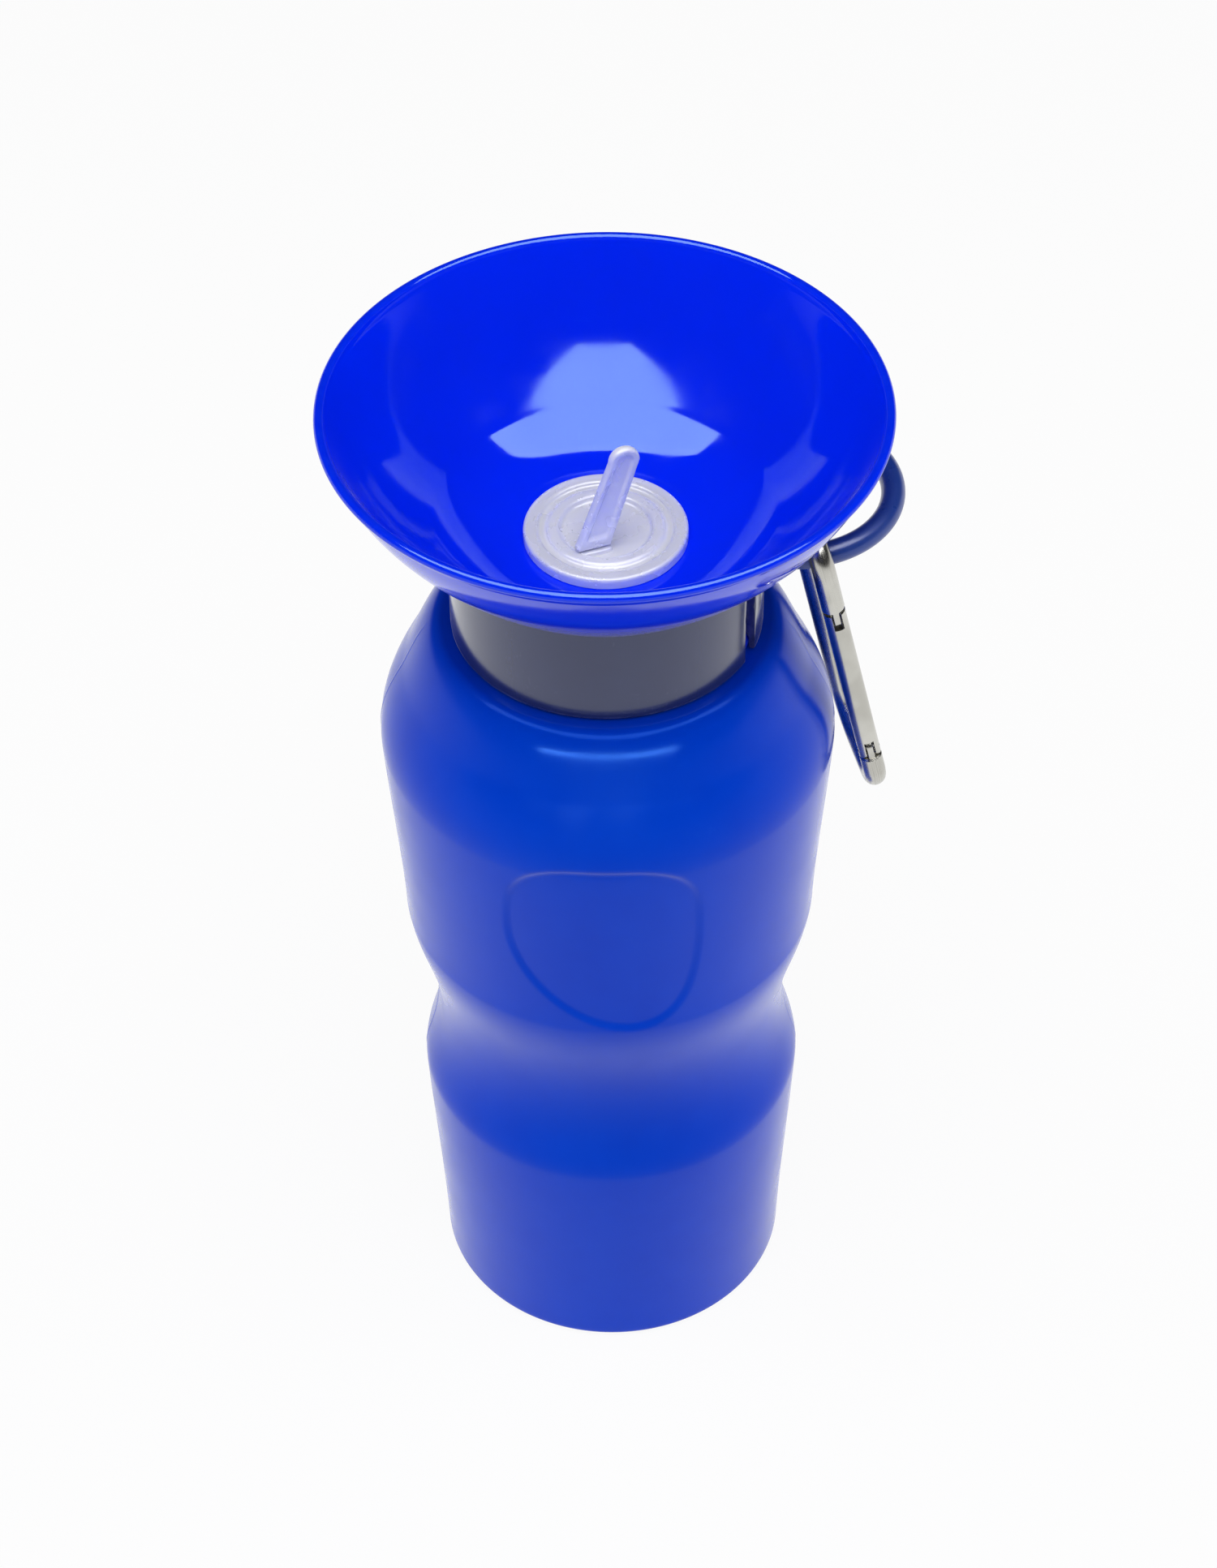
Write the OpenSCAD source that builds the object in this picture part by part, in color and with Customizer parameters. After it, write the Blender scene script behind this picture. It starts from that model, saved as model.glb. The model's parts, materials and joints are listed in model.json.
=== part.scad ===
// Squeeze-to-fill travel water bottle for a pet, with a drinking bowl on top.
// The bowl screws on to the bottle's neck and holds the dip tube, and a plug
// with a pull tab closes its port. A split collar turns on the bowl's skirt,
// and its loop carries a snap carabiner.
// The origin is the centre of the base, +Z is up.

/* [Bottle] */
// Radius of the base
base_r = 37.6; // [34:0.1:40]
// Radius of the widest place under the waist
hip_r = 40.6; // [39:0.1:43]
// Radius of the narrowest place of the waist
waist_r = 37.2; // [34:0.1:39]
// Radius where the upper body starts
belly_r = 42.9; // [40:0.1:45]
// Radius of the widest place of the shoulder
shoulder_r = 46.05; // [44:0.01:56]
// Height of the widest place under the waist
hip_z = 57.5; // [45:0.5:65]
// Height of the waist over the widest place under it
waist_up = 20; // [16:0.5:26]
// Height of the upper body's start over the waist
belly_up = 29.5; // [25:0.5:36]
// Height of the widest place of the shoulder over the upper body's start
shoulder_up = 47; // [40:0.5:60]
// Height of the flat deck over the widest place of the shoulder
deck_up = 29; // [27:0.5:36]
// Thickness of the wall that is squeezed
wall = 1.3; // [1:0.1:2]
// Thickness of the bottle's floor
floor_t = 2; // [1.5:0.1:3]

/* [Thumb pad] */
// Width of the sunk thumb pad
pad_w = 40; // [25:1:46]
// Height of the thumb pad
pad_h = 48; // [30:1:48]
// How deep the pad is sunk
pad_t = 0.6; // [0.3:0.1:0.9]

/* [Neck and thread] */
// Inner radius of the neck
mouth_r = 22.5; // [20:0.1:27]
// Thickness of the neck's wall
neck_wall = 2.1; // [1.6:0.1:3]
// Height of the neck above the deck
neck_h = 17.2; // [16:0.1:22]
// Rise of the thread in one turn
pitch = 4; // [3:0.1:5]
// Turns of thread on each part
thread_turns = 1.25; // [1:0.05:1.5]
// Height of the thread's ridge
ridge_h = 1.7; // [1.2:0.1:2]

/* [Bowl] */
// Outer radius of the bowl's rim
bowl_r = 55; // [50:0.5:66]
// Height from the bowl's lower edge to its rim
bowl_h = 30.1; // [24:0.1:36]
// How far the bowl's lower edge stands out past its skirt
foot_step = 3.3; // [2.4:0.1:5]
// Thickness of the bowl's wall
bowl_wall = 1.9; // [1.4:0.1:2.6]
// Radius of the flat floor around the plug
bowl_floor_r = 19.5; // [17.5:0.1:24]
// Thickness of the skirt that screws on to the neck
skirt_wall = 2; // [1.6:0.1:2.4]
// Radius of the rounded lip
lip_r = 1.7; // [1.2:0.1:2]

/* [Port, plug and tab] */
// Radius of the port that the plug closes
port_r = 11.5; // [9:0.1:13.8]
// Depth of the port under the bowl's floor
port_d = 11.3; // [9:0.1:12]
// How far the plug's cap laps over the bowl's floor
cap_lap = 4.6; // [3.4:0.1:5.4]
// Thickness of the plug's cap
plug_t = 2.4; // [2:0.1:3]
// Length of the plug's stem
stem_h = 5; // [4:0.1:6]
// Length of the pull tab
tab_len = 18; // [12:0.5:19]
// Width of the pull tab at its root
tab_w = 7.2; // [5:0.1:8]

/* [Seal and dip tube] */
// Thickness of the seal between bowl and neck
seal_t = 1.4; // [1:0.1:2]
// Outer radius of the dip tube
tube_r = 5; // [4:0.1:6]
// Wall of the dip tube
tube_wall = 0.8; // [0.6:0.1:0.9]
// Gap between the dip tube and the bottle's floor
tube_gap = 3; // [2:0.5:12]

/* [Collar and loop] */
// Thickness of the collar's wall
collar_wall = 2; // [1.6:0.1:2.6]
// Width of the split that lets the collar snap on
split_w = 4.4; // [3:0.1:6]
// Radius of the loop's rod
loop_rod = 2.4; // [2:0.1:2.6]
// Radius of the loop's bend along its centre line
loop_r = 20.5; // [16:0.5:24]
// How far the centre of the bend lies inside the shoulder's edge
bend_in = 5.55; // [3:0.05:6]

/* [Carabiner] */
// Radius of the carabiner's rod
clip_rod = 2.3; // [1.8:0.1:2.4]
// Width of the carabiner between the centres of its legs
clip_w = 23.1; // [20:0.1:26]
// Length of the carabiner between the centres of its ends
clip_len = 68.1; // [60:0.1:76]
// Length of the gate, from its pin to its free end
gate_len = 39.4; // [30:0.1:42]
// Radius of the gate's hinge pin
pin_r = 0.8; // [0.6:0.05:0.9]

/* [Hidden] */
$fn = 96;
// Radial play of parts that are pushed together and stay
push_fit = 0.03;
// Radial play of parts that turn or slide on each other
run_fit = 0.08;
// Play between flat faces that pass each other
side_gap = 0.3;
// Overlap that lets a cut pass through a face
eps = 0.5;

// Heights of the bottle's body
waist_z = hip_z + waist_up;
belly_z = waist_z + belly_up;
shoulder_z = belly_z + shoulder_up;
deck_z = shoulder_z + deck_up;

// Neck and skirt
neck_r = mouth_r + neck_wall;
crest_r = neck_r + ridge_h;
thread_gap = 0.6;
skirt_in = crest_r + thread_gap;
skirt_r = skirt_in + skirt_wall;
lip_z = deck_z + neck_h;
skirt_z = deck_z + 1;
bead_h = 0.7;
bead_r = skirt_r + bead_h;
thread_z = deck_z + 7;
turn_start = 90;

// Bowl
foot_r = skirt_r + foot_step;
under_z = lip_z + seal_t;
floor_z = under_z + 2;
bowl_z = floor_z + 2.4;
rim_z = bowl_z + bowl_h;
bulge = 2.7;
well_wall = 1.6;
well_z = floor_z - port_d;
ledge_z = well_z - 1;
spigot_z = ledge_z - 5.3;

// Plug and tab
plug_r = port_r + cap_lap;
cap_z = floor_z + plug_t;
stem_r = port_r - run_fit;
stem_wall = 2.8;
hinge_r = 1;
tab_t = 2;
tab_az = 20;
tab_at = [-2.4, -6.5, cap_z + hinge_r + 0.1];
tab_lean = 3;
tab_skew = 6.7;

// Collar and loop
collar_in = skirt_r + run_fit;
collar_r = collar_in + collar_wall;
collar_z = deck_z + side_gap;
collar_top = bowl_z - 0.2;
split_az = -25.4;
loop_z = deck_z + 17;
loop_az = 25.6;
leg_turn = 25.6;
boss_r = loop_rod + 1.2;
boss_out = 3;
boss_in = 1.4;
// The bend stays outside the shoulder's edge and clear of its sockets
bend_out = 9.4;
loop_dist = max(shoulder_r - bend_in, collar_r + bend_out);
// The legs are this much thinner than the bend
leg_step = 0.06;
// Length of each straight leg, from the bend to the bottom of its socket
leg_len = loop_dist * cos(leg_turn)
        - sqrt(pow(collar_in + boss_in, 2) - pow(loop_r - loop_dist * sin(leg_turn), 2));

// Carabiner: its plane leans outwards, and its upper corner lies around the loop
clip_az = 13;
clip_lean = 12.5;
corner_r = loop_rod + clip_rod + 0.4;
hang_turn = 12.7;
bend_c = loop_dist * [cos(loop_az), sin(loop_az)];
clip_at = [bend_c[0] + loop_r * sin(hang_turn), bend_c[1] - loop_r * cos(hang_turn), loop_z];
spine_y = clip_w - corner_r;
top_r = 9;
low_r = 9;
toe_r = 7;
clip_low = corner_r - clip_len;
pin_q = clip_low + toe_r + 6;
gate_r = clip_rod - 0.05;
gate_top = pin_q + gate_len;
nose_z = gate_top + 0.6;
tongue_t = 1.6;
fork_t = 2;
bore_r = 1.3;
bore_top = pin_q + 22;

// Point at share t along a cubic curve with four control points
function bez(p, t) = pow(1 - t, 3) * p[0] + 3 * pow(1 - t, 2) * t * p[1]
                   + 3 * (1 - t) * t * t * p[2] + t * t * t * p[3];
// Points along that curve, without its first one
function curve(p, n) = [for (i = [1:n]) bez(p, i / n)];
// Points of an arc around c from angle a to angle b
function arc(c, r, a, b, n) = [for (i = [0:n]) c + r * [cos(a + (b - a) * i / n), sin(a + (b - a) * i / n)]];
// A path moved sideways by d, to the left of its direction
function inset(path, d) = [for (i = [0:len(path) - 1])
    let (a = path[max(i - 1, 0)], b = path[min(i + 1, len(path) - 1)], u = (b - a) / norm(b - a))
    path[i] + d * [-u[1], u[0]]];
function reverse(path) = [for (i = [len(path) - 1:-1:0]) path[i]];

// Outside of the bottle, from the foot's edge to the deck
foot_edge = 1.8;
slope = [41 / 46.05 * shoulder_r, (shoulder_z + 1.284 * deck_z) / 2.284];
deck_r = skirt_r + 3.7;
wall_path = concat(
    [[base_r, foot_edge]],
    curve([[base_r, foot_edge], [base_r + 0.5, 20], [hip_r - 0.4, hip_z - 12], [hip_r, hip_z]], 5),
    curve([[hip_r, hip_z], [hip_r, hip_z + 4.5], [waist_r, waist_z - 10.5], [waist_r, waist_z]], 7),
    curve([[waist_r, waist_z], [waist_r, waist_z + 12.5], [belly_r - 1, belly_z - 9],
           [belly_r, belly_z]], 8),
    curve([[belly_r, belly_z], [belly_r + 0.3, belly_z + 13], [shoulder_r - 0.45, shoulder_z - 10],
           [shoulder_r, shoulder_z]], 6),
    curve([[shoulder_r, shoulder_z], [shoulder_r, shoulder_z + 6.5],
           slope + [2.4, -4.8], slope], 7),
    curve([slope, slope + [-2.5, 5.4], [deck_r + 3.6, deck_z], [deck_r, deck_z]], 7));

// Outline of the thumb pad, square-shouldered above and oval below
pad_top = shoulder_z + 2;
pad_mid = pad_top - 0.4 * pad_h;
pad_off = -1.5;
pad_skew = 6;
function pad_point(t) = let (
    n = cos(t) > 0 ? 2 / 3 : 1,
    x = sign(sin(t)) * pow(abs(sin(t)), n) * pad_w / 2,
    z = sign(cos(t)) * pow(abs(cos(t)), n) * (cos(t) > 0 ? 0.4 : 0.6) * pad_h,
    s = z < 0 ? pow(z / (0.6 * pad_h), 2) : 0)
    [pad_off + x + s * pad_skew, pad_mid + z];

// Ridge of a screw thread: it grows from radius r0 to r1 and fades out at both ends
module thread(r0, r1, turns, z0, start) {
    steps = ceil(turns * 30);
    root_w = 1.7;
    crest_w = 0.9;
    function fade(i) = min(1, 0.15 + min(i, steps - i) / 4);
    function ring(i) = let (
        a = start + 360 * turns * i / steps, z = z0 + pitch * turns * i / steps,
        r = r0 + (r1 - r0) * fade(i))
        [for (q = [[r0, -root_w], [r, -crest_w], [r, crest_w], [r0, root_w]])
            [q[0] * cos(a), q[0] * sin(a), z + q[1] / 2]];
    flip = r1 < r0;
    sides = [for (i = [0:steps - 1], k = [0:3])
        [4 * i + k, 4 * i + (k + 1) % 4, 4 * i + 4 + (k + 1) % 4, 4 * i + 4 + k]];
    split = [for (f = sides) each [[f[0], f[1], f[2]], [f[0], f[2], f[3]]]];
    caps = [[0, 3, 2], [0, 2, 1], [4 * steps, 4 * steps + 1, 4 * steps + 2],
            [4 * steps, 4 * steps + 2, 4 * steps + 3]];
    faces = concat(split, caps);
    polyhedron([for (i = [0:steps]) each ring(i)],
               flip ? [for (f = faces) [f[0], f[2], f[1]]] : faces, convexity = 6);
}

// The wall's layer between two depths, as wide as the thumb pad and some margin
module pad_layer(from, to, margin) {
    function layer(d) = [for (p = inset(wall_path, d)) if (p[1] > belly_z - 16 && p[1] < pad_top + 10) p];
    intersection() {
        rotate([90, 0, 0]) linear_extrude(shoulder_r + 5) polygon([for (t = [0:7.5:352.5])
            let (p = pad_point(t), q = p - [pad_off, pad_mid]) p + margin * q / norm(q)]);
        rotate_extrude() polygon(concat(layer(from), reverse(layer(to))));
    }
}

// Turned body: foot, outside, neck, and the inside at the wall's thickness
module shell() {
    inner = inset(wall_path, wall);
    groove_in = base_r - 10.6;
    groove_out = base_r - 6.6;
    rotate_extrude() polygon(concat(
        [[0, 0], [groove_in, 0], [groove_in + 1, 1], [groove_out - 1, 1], [groove_out, 0]],
        arc([base_r - foot_edge, foot_edge], foot_edge, -90, -15, 4),
        wall_path,
        [[neck_r, deck_z], [neck_r, lip_z - 0.4], [neck_r - 0.4, lip_z], [mouth_r, lip_z],
         [mouth_r, deck_z - wall]],
        reverse([for (p = inner) if (p[1] > floor_t + 2.5 && p[1] < deck_z - wall - 0.02) p]),
        [[base_r - wall - 0.2, floor_t + 2], [base_r - wall - 2.2, floor_t], [0, floor_t]]));
}

// Hollow moulded bottle with its sunk thumb pad and threaded neck
module bottle() {
    color("royalblue") union() {
        difference() {
            union() {
                shell();
                // The wall steps in behind the pad, so it keeps its thickness
                pad_layer(wall / 2, wall + pad_t, wall);
            }
            pad_layer(-2, pad_t, 0);
        }
        thread(neck_r - 0.5, crest_r, thread_turns, thread_z, 0);
    }
}

// Flat ring that seals the bowl on the bottle's lip
module gasket() {
    color("gainsboro") translate([0, 0, lip_z]) difference() {
        cylinder(r = crest_r, h = seal_t);
        translate([0, 0, -eps]) cylinder(r = mouth_r, h = seal_t + 2 * eps);
    }
}

// Outside of the bowl at share s of its height
function bowl_out(s) = [foot_r + (bowl_r - 0.6 - foot_r) * s + bulge * sin(180 * s),
                        bowl_z + (bowl_h - 1.9) * s];
bowl_path = [for (i = [0:12]) bowl_out(i / 12)];

// Drinking bowl with its port, tube spigot and threaded skirt
module bowl() {
    inside = inset(bowl_path, bowl_wall);
    turn_up = inside[0];
    lip_c = [bowl_r - lip_r, rim_z - lip_r];
    color("blue") union() {
        rotate_extrude() polygon(concat(
            [[skirt_in, skirt_z], [bead_r, skirt_z], [bead_r, skirt_z + 0.9], [skirt_r, skirt_z + 1.9],
             [skirt_r, bowl_z]],
            [for (i = [0:11]) bowl_path[i]],
            arc(lip_c, lip_r, -10, 90, 6),
            arc(lip_c + [lip_r - bowl_wall - 1.6, 0], lip_r, 90, 160, 4),
            reverse([for (i = [1:11]) inside[i]]),
            reverse(curve([[bowl_floor_r, floor_z], [bowl_floor_r + 6, floor_z],
                           turn_up - [2.6, 2.6], turn_up], 6)),
            [[bowl_floor_r, floor_z], [port_r + 0.4, floor_z], [port_r, floor_z - 0.4],
             [port_r, well_z], [tube_r - tube_wall, well_z], [tube_r - tube_wall, ledge_z],
             [tube_r + push_fit, ledge_z], [tube_r + push_fit, spigot_z],
             [tube_r + 2, spigot_z], [tube_r + 2, well_z - 2], [port_r + well_wall, well_z - 2],
             [port_r + well_wall, under_z], [skirt_in, under_z]]));
        thread(skirt_in + 0.5, skirt_in - ridge_h - 0.2, thread_turns,
               thread_z - pitch / 2 - pitch * turn_start / 360, -turn_start);
    }
}

// Tube that carries the water from the bottle's floor up to the bowl
module dip_tube() {
    low = floor_t + tube_gap;
    color("whitesmoke") translate([0, 0, low]) difference() {
        cylinder(r = tube_r, h = ledge_z - low);
        translate([0, 0, -eps]) cylinder(r = tube_r - tube_wall, h = ledge_z - low + 2 * eps);
    }
}

// Stopper: a ringed cap, a hollow stem and the seat of the pull tab
module plug() {
    dish_z = cap_z - 1;
    dish_r = port_r - 2.9;
    color("lavender") union() {
        rotate_extrude() polygon([
            [0, dish_z - 1.6], [stem_r - stem_wall, dish_z - 1.6], [stem_r - stem_wall, floor_z - stem_h],
            [stem_r - 0.8, floor_z - stem_h], [stem_r, floor_z - stem_h + 1.2], [stem_r, floor_z],
            [plug_r, floor_z], [plug_r, cap_z - 0.7], [plug_r - 0.7, cap_z], [port_r + 2, cap_z],
            [port_r + 1.5, cap_z - 0.7], [port_r + 0.4, cap_z - 0.7], [port_r - 0.3, cap_z],
            [dish_r + 0.8, cap_z], [dish_r, dish_z], [0, dish_z]]);
        translate([tab_at[0], tab_at[1], dish_z - 0.4]) rotate([0, 0, tab_az])
            translate([-tab_w / 2, -1.4, 0]) cube([tab_w, 2.8, cap_z - dish_z + 0.4]);
    }
}

// Slanted outline of the tab, d smaller all round
module tab_face(d) {
    top_w = tab_w * 0.43;
    polygon([[-tab_w / 2 + d, d], [tab_w / 2 - d, d], [tab_skew + top_w - d, tab_len],
             [tab_skew - top_w + d, tab_len]]);
    translate([tab_skew, tab_len]) circle(r = top_w - d);
}

// Soft tab that bends at its thin root
module pull_tab() {
    rib = 0.9;
    web_t = 1.1;
    color("lavender") translate(tab_at) rotate([-tab_lean, 0, tab_az]) union() {
        rotate([0, 90, 0]) cylinder(r = hinge_r, h = tab_w, center = true);
        rotate([90, 0, 0]) difference() {
            translate([0, 0, -tab_t / 2]) linear_extrude(tab_t) tab_face(0);
            translate([0, 0, web_t / 2]) linear_extrude(tab_t) tab_face(rib);
            translate([0, 0, -web_t / 2 - tab_t]) linear_extrude(tab_t) tab_face(rib);
        }
    }
}

// Places its children at the two legs of the loop, with +X along the leg from its socket
module at_legs() {
    rotate([0, 0, loop_az]) for (side = [0, 1]) mirror([0, side, 0])
        translate([loop_dist, 0, loop_z]) rotate([0, 0, -leg_turn])
            translate([-leg_len, -loop_r, 0]) children();
}

// Split sleeve that turns on the skirt, with the two sockets of the loop
module collar() {
    relief_r = bead_r + 0.15;
    edge = 0.5;
    color("slategray") difference() {
        union() {
            rotate_extrude() polygon([
                [relief_r, collar_z], [collar_r - edge, collar_z], [collar_r, collar_z + edge],
                [collar_r, collar_top - edge], [collar_r - edge, collar_top], [collar_in, collar_top],
                [collar_in, collar_z + 3.4], [relief_r, collar_z + 2.7]]);
            difference() {
                at_legs() translate([-0.6, 0, 0]) rotate([0, 90, 0])
                    cylinder(r = boss_r, h = boss_out + 1.6);
                translate([0, 0, collar_z - eps]) cylinder(r = collar_in + 0.4, h = 40);
            }
        }
        at_legs() rotate([0, 90, 0]) cylinder(r = loop_rod - leg_step + push_fit, h = 20);
        rotate([0, 0, split_az]) translate([collar_in - 3, -split_w / 2, collar_z - eps])
            cube([collar_wall + 6, split_w, collar_top - collar_z + 2 * eps]);
    }
}

// Navy loop: a round rod bent to an open ring, its two ends in the collar's sockets
module carry_loop() {
    color("midnightblue") union() {
        at_legs() translate([0.1, 0, 0]) rotate([0, 90, 0])
            cylinder(r = loop_rod - leg_step, h = leg_len + 0.5);
        rotate([0, 0, loop_az]) translate([loop_dist, 0, loop_z]) rotate([0, 0, -90 - leg_turn])
            rotate_extrude(angle = 180 + 2 * leg_turn) translate([loop_r, 0]) circle(r = loop_rod, $fn = 48);
    }
}

// Moves its children from the carabiner's own plane to their place on the loop
module on_clip() {
    translate(clip_at) rotate([0, -clip_lean, clip_az]) children();
}

// Bend of the carabiner's rod around [y, z], from angle a through 90 degrees
module bend(y, z, r, a) {
    translate([0, y, z]) rotate([90, 0, 90]) rotate([0, 0, a])
        rotate_extrude(angle = 90) translate([r, 0]) circle(r = clip_rod, $fn = 48);
}

// Straight rod from [y, z] along the carabiner's y or z
module rod_y(y, z, l) {
    translate([0, y, z]) rotate([-90, 0, 0]) cylinder(r = clip_rod, h = l);
}
module rod_z(y, z, l) {
    translate([0, y, z]) cylinder(r = clip_rod, h = l);
}

// Open body of the carabiner: nose, top, back leg, bottom and hinge tongue
module carabiner_body() {
    stub_z = pin_q - gate_r - 0.15;
    eye_r = 1.8;
    color("silver") on_clip() union() {
        rod_z(-corner_r, nose_z, -nose_z);
        bend(0, 0, corner_r, 90);
        rod_y(0, corner_r, spine_y - top_r);
        bend(spine_y - top_r, corner_r - top_r, top_r, 0);
        rod_z(spine_y, clip_low + low_r, clip_len - low_r - top_r);
        bend(spine_y - low_r, clip_low + low_r, low_r, 270);
        rod_y(toe_r - corner_r, clip_low, spine_y - low_r - toe_r + corner_r);
        bend(toe_r - corner_r, clip_low + toe_r, toe_r, 180);
        rod_z(-corner_r, clip_low + toe_r, stub_z - clip_low - toe_r);
        // Nose tongue that the gate closes around
        intersection() {
            rod_z(-corner_r, nose_z - 3.6, 4.2);
            translate([-tongue_t / 2, -corner_r - 2, nose_z - 3.6]) cube([tongue_t, 4, 4.2]);
        }
        // Hinge tongue with the pin's hole
        difference() {
            union() {
                translate([-tongue_t / 2, -corner_r - eye_r, stub_z - 0.4])
                    cube([tongue_t, 2 * eye_r, pin_q - stub_z + 0.4]);
                translate([-tongue_t / 2, -corner_r, pin_q]) rotate([0, 90, 0])
                    cylinder(r = eye_r, h = tongue_t);
            }
            translate([-2, -corner_r, pin_q]) rotate([0, 90, 0]) cylinder(r = pin_r + 0.06, h = 4);
        }
    }
}

// Hollow gate with a slot for the nose and a fork around the hinge tongue
module carabiner_gate() {
    slot_low = nose_z - 4.4;
    fork_top = pin_q + 2.6;
    color("lightgray") on_clip() difference() {
        union() {
            rod_gate(pin_q, gate_len);
            intersection() {
                rod_gate(pin_q - gate_r, gate_r + 1);
                translate([-gate_r, -corner_r, pin_q]) rotate([0, 90, 0])
                    cylinder(r = gate_r, h = 2 * gate_r);
            }
        }
        translate([-fork_t / 2, -corner_r - 4, slot_low]) cube([fork_t, 8, gate_top - slot_low + eps]);
        translate([-fork_t / 2, -corner_r - 4, pin_q - 4]) cube([fork_t, 8, fork_top - pin_q + 4]);
        translate([0, -corner_r, pin_q + 1.9]) cylinder(r = bore_r, h = bore_top - pin_q - 1.9);
        translate([-4, -corner_r, pin_q]) rotate([0, 90, 0]) cylinder(r = pin_r, h = 8);
    }
}
module rod_gate(z, l) {
    translate([0, -corner_r, z]) cylinder(r = gate_r, h = l);
}

// Rivet that the gate turns on
module gate_pin() {
    color("gray") on_clip() translate([-gate_r + 0.1, -corner_r, pin_q]) rotate([0, 90, 0])
        cylinder(r = pin_r, h = 2 * gate_r - 0.2);
}

// Pusher between the spring and the hinge tongue
plunger_z = pin_q + 2.1;
plunger_h = 5;
module gate_plunger() {
    color("gray") on_clip() translate([0, -corner_r, plunger_z])
        cylinder(r = bore_r - run_fit, h = plunger_h);
}

// Coil spring in the gate's bore
module gate_spring() {
    wire = 0.2;
    coil_r = bore_r - wire - 0.2;
    turns = 9;
    per_turn = 14;
    low = plunger_z + plunger_h + wire + 0.05;
    rise = bore_top - 0.05 - wire - low;
    steps = turns * per_turn;
    sides = 6;
    function spring_point(i, k) = let (
        a = 360 * i / per_turn, c = coil_r + wire * cos(60 * k))
        [c * cos(a), c * sin(a), low + rise * i / steps + wire * sin(60 * k)];
    color("dimgray") on_clip() translate([0, -corner_r, 0]) polyhedron(
        [for (i = [0:steps], k = [0:sides - 1]) spring_point(i, k)],
        concat(
            [for (i = [0:steps - 1], k = [0:sides - 1]) each [
                [sides * i + k, sides * (i + 1) + k, sides * (i + 1) + (k + 1) % sides],
                [sides * i + k, sides * (i + 1) + (k + 1) % sides, sides * i + (k + 1) % sides]]],
            [for (k = [1:sides - 2]) [0, k, k + 1]],
            [for (k = [1:sides - 2]) [sides * steps, sides * steps + k + 1, sides * steps + k]]),
        convexity = 10);
}

bottle();
gasket();
bowl();
dip_tube();
plug();
pull_tab();
collar();
carry_loop();
carabiner_body();
carabiner_gate();
gate_pin();
gate_spring();
gate_plunger();
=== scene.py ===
"""Squeeze travel water bottle with a drinking bowl: its pieces, finishes and studio.

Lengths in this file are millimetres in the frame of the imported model, unless a name says otherwise.
Each piece is a surface worked out as whole numpy arrays: a profile turned round the bottle's axis, or a
section carried along a path.
"""
import json
import logging
import math
from dataclasses import dataclass, field
from enum import Enum

import bpy
import numpy as np
from mathutils import Matrix, Vector


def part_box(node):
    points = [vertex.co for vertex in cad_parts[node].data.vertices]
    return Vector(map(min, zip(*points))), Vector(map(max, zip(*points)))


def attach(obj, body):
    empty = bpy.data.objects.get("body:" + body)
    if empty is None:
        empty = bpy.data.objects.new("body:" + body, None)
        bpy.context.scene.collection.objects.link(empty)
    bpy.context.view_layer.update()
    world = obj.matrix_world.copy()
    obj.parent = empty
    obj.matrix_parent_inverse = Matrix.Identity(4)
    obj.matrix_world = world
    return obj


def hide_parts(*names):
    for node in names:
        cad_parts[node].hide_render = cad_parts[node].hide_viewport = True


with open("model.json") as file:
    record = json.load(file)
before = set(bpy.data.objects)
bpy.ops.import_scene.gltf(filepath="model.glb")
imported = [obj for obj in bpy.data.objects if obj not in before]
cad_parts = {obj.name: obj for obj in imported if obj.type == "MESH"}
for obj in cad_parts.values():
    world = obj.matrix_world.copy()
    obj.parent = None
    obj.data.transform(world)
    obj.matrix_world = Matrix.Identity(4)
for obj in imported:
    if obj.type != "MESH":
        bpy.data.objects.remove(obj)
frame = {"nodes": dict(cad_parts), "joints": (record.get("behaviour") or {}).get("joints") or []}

LOG = logging.getLogger("water_bottle")
MM = 0.001
Array = np.ndarray


# ---------------------------------------------------------------- outlines


def bezier(points: list, count: int) -> Array:
    """Cubic curve through its first and last control point.

    Each coordinate is the sum of the four control points weighted by the Bernstein polynomials.

    Args:
        points: Four control points.
        count: How many steps the curve has.

    Returns:
        Points after the first one, as an array of count rows.
    """
    p = np.asarray(points, float)
    t = np.linspace(0, 1, count + 1)[1:, None]
    return (1 - t) ** 3 * p[0] + 3 * (1 - t) ** 2 * t * p[1] + 3 * (1 - t) * t ** 2 * p[2] + t ** 3 * p[3]


def arc(centre: tuple, radius: float, start: float, end: float, count: int) -> Array:
    """Circular arc: the centre plus the radius times the cosine and sine of the angle.

    Args:
        centre: Centre of the arc.
        radius: Its radius.
        start: First angle in degrees.
        end: Last angle in degrees.
        count: How many steps it has.

    Returns:
        Points of the arc, both ends included.
    """
    a = np.radians(np.linspace(start, end, count + 1))
    return np.asarray(centre) + radius * np.stack([np.cos(a), np.sin(a)], axis=1)


def rounded(corners: list, radii: list, steps: int = 5) -> Array:
    """Outline with each corner replaced by a curve that leaves and joins its two sides smoothly.

    A corner of radius zero stays sharp. The curve is a quadratic one whose ends lie up to the radius
    from the corner, and never past the middle of a side.

    Args:
        corners: Corner points in order.
        radii: Rounding of each corner.
        steps: Steps of each rounded corner.

    Returns:
        Points of the rounded outline.
    """
    p = np.asarray(corners, float)
    out = [p[:1]]
    t = np.linspace(0, 1, steps + 1)[:, None]
    for before, at, after, r in zip(p[:-2], p[1:-1], p[2:], radii[1:-1]):
        if r <= 0:
            out.append(at[None])
            continue
        back, ahead = before - at, after - at
        a = at + back * min(r / np.linalg.norm(back), 0.49)
        b = at + ahead * min(r / np.linalg.norm(ahead), 0.49)
        out.append((1 - t) ** 2 * a + 2 * (1 - t) * t * at + t ** 2 * b)
    out.append(p[-1:])
    return np.concatenate(out)


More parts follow.
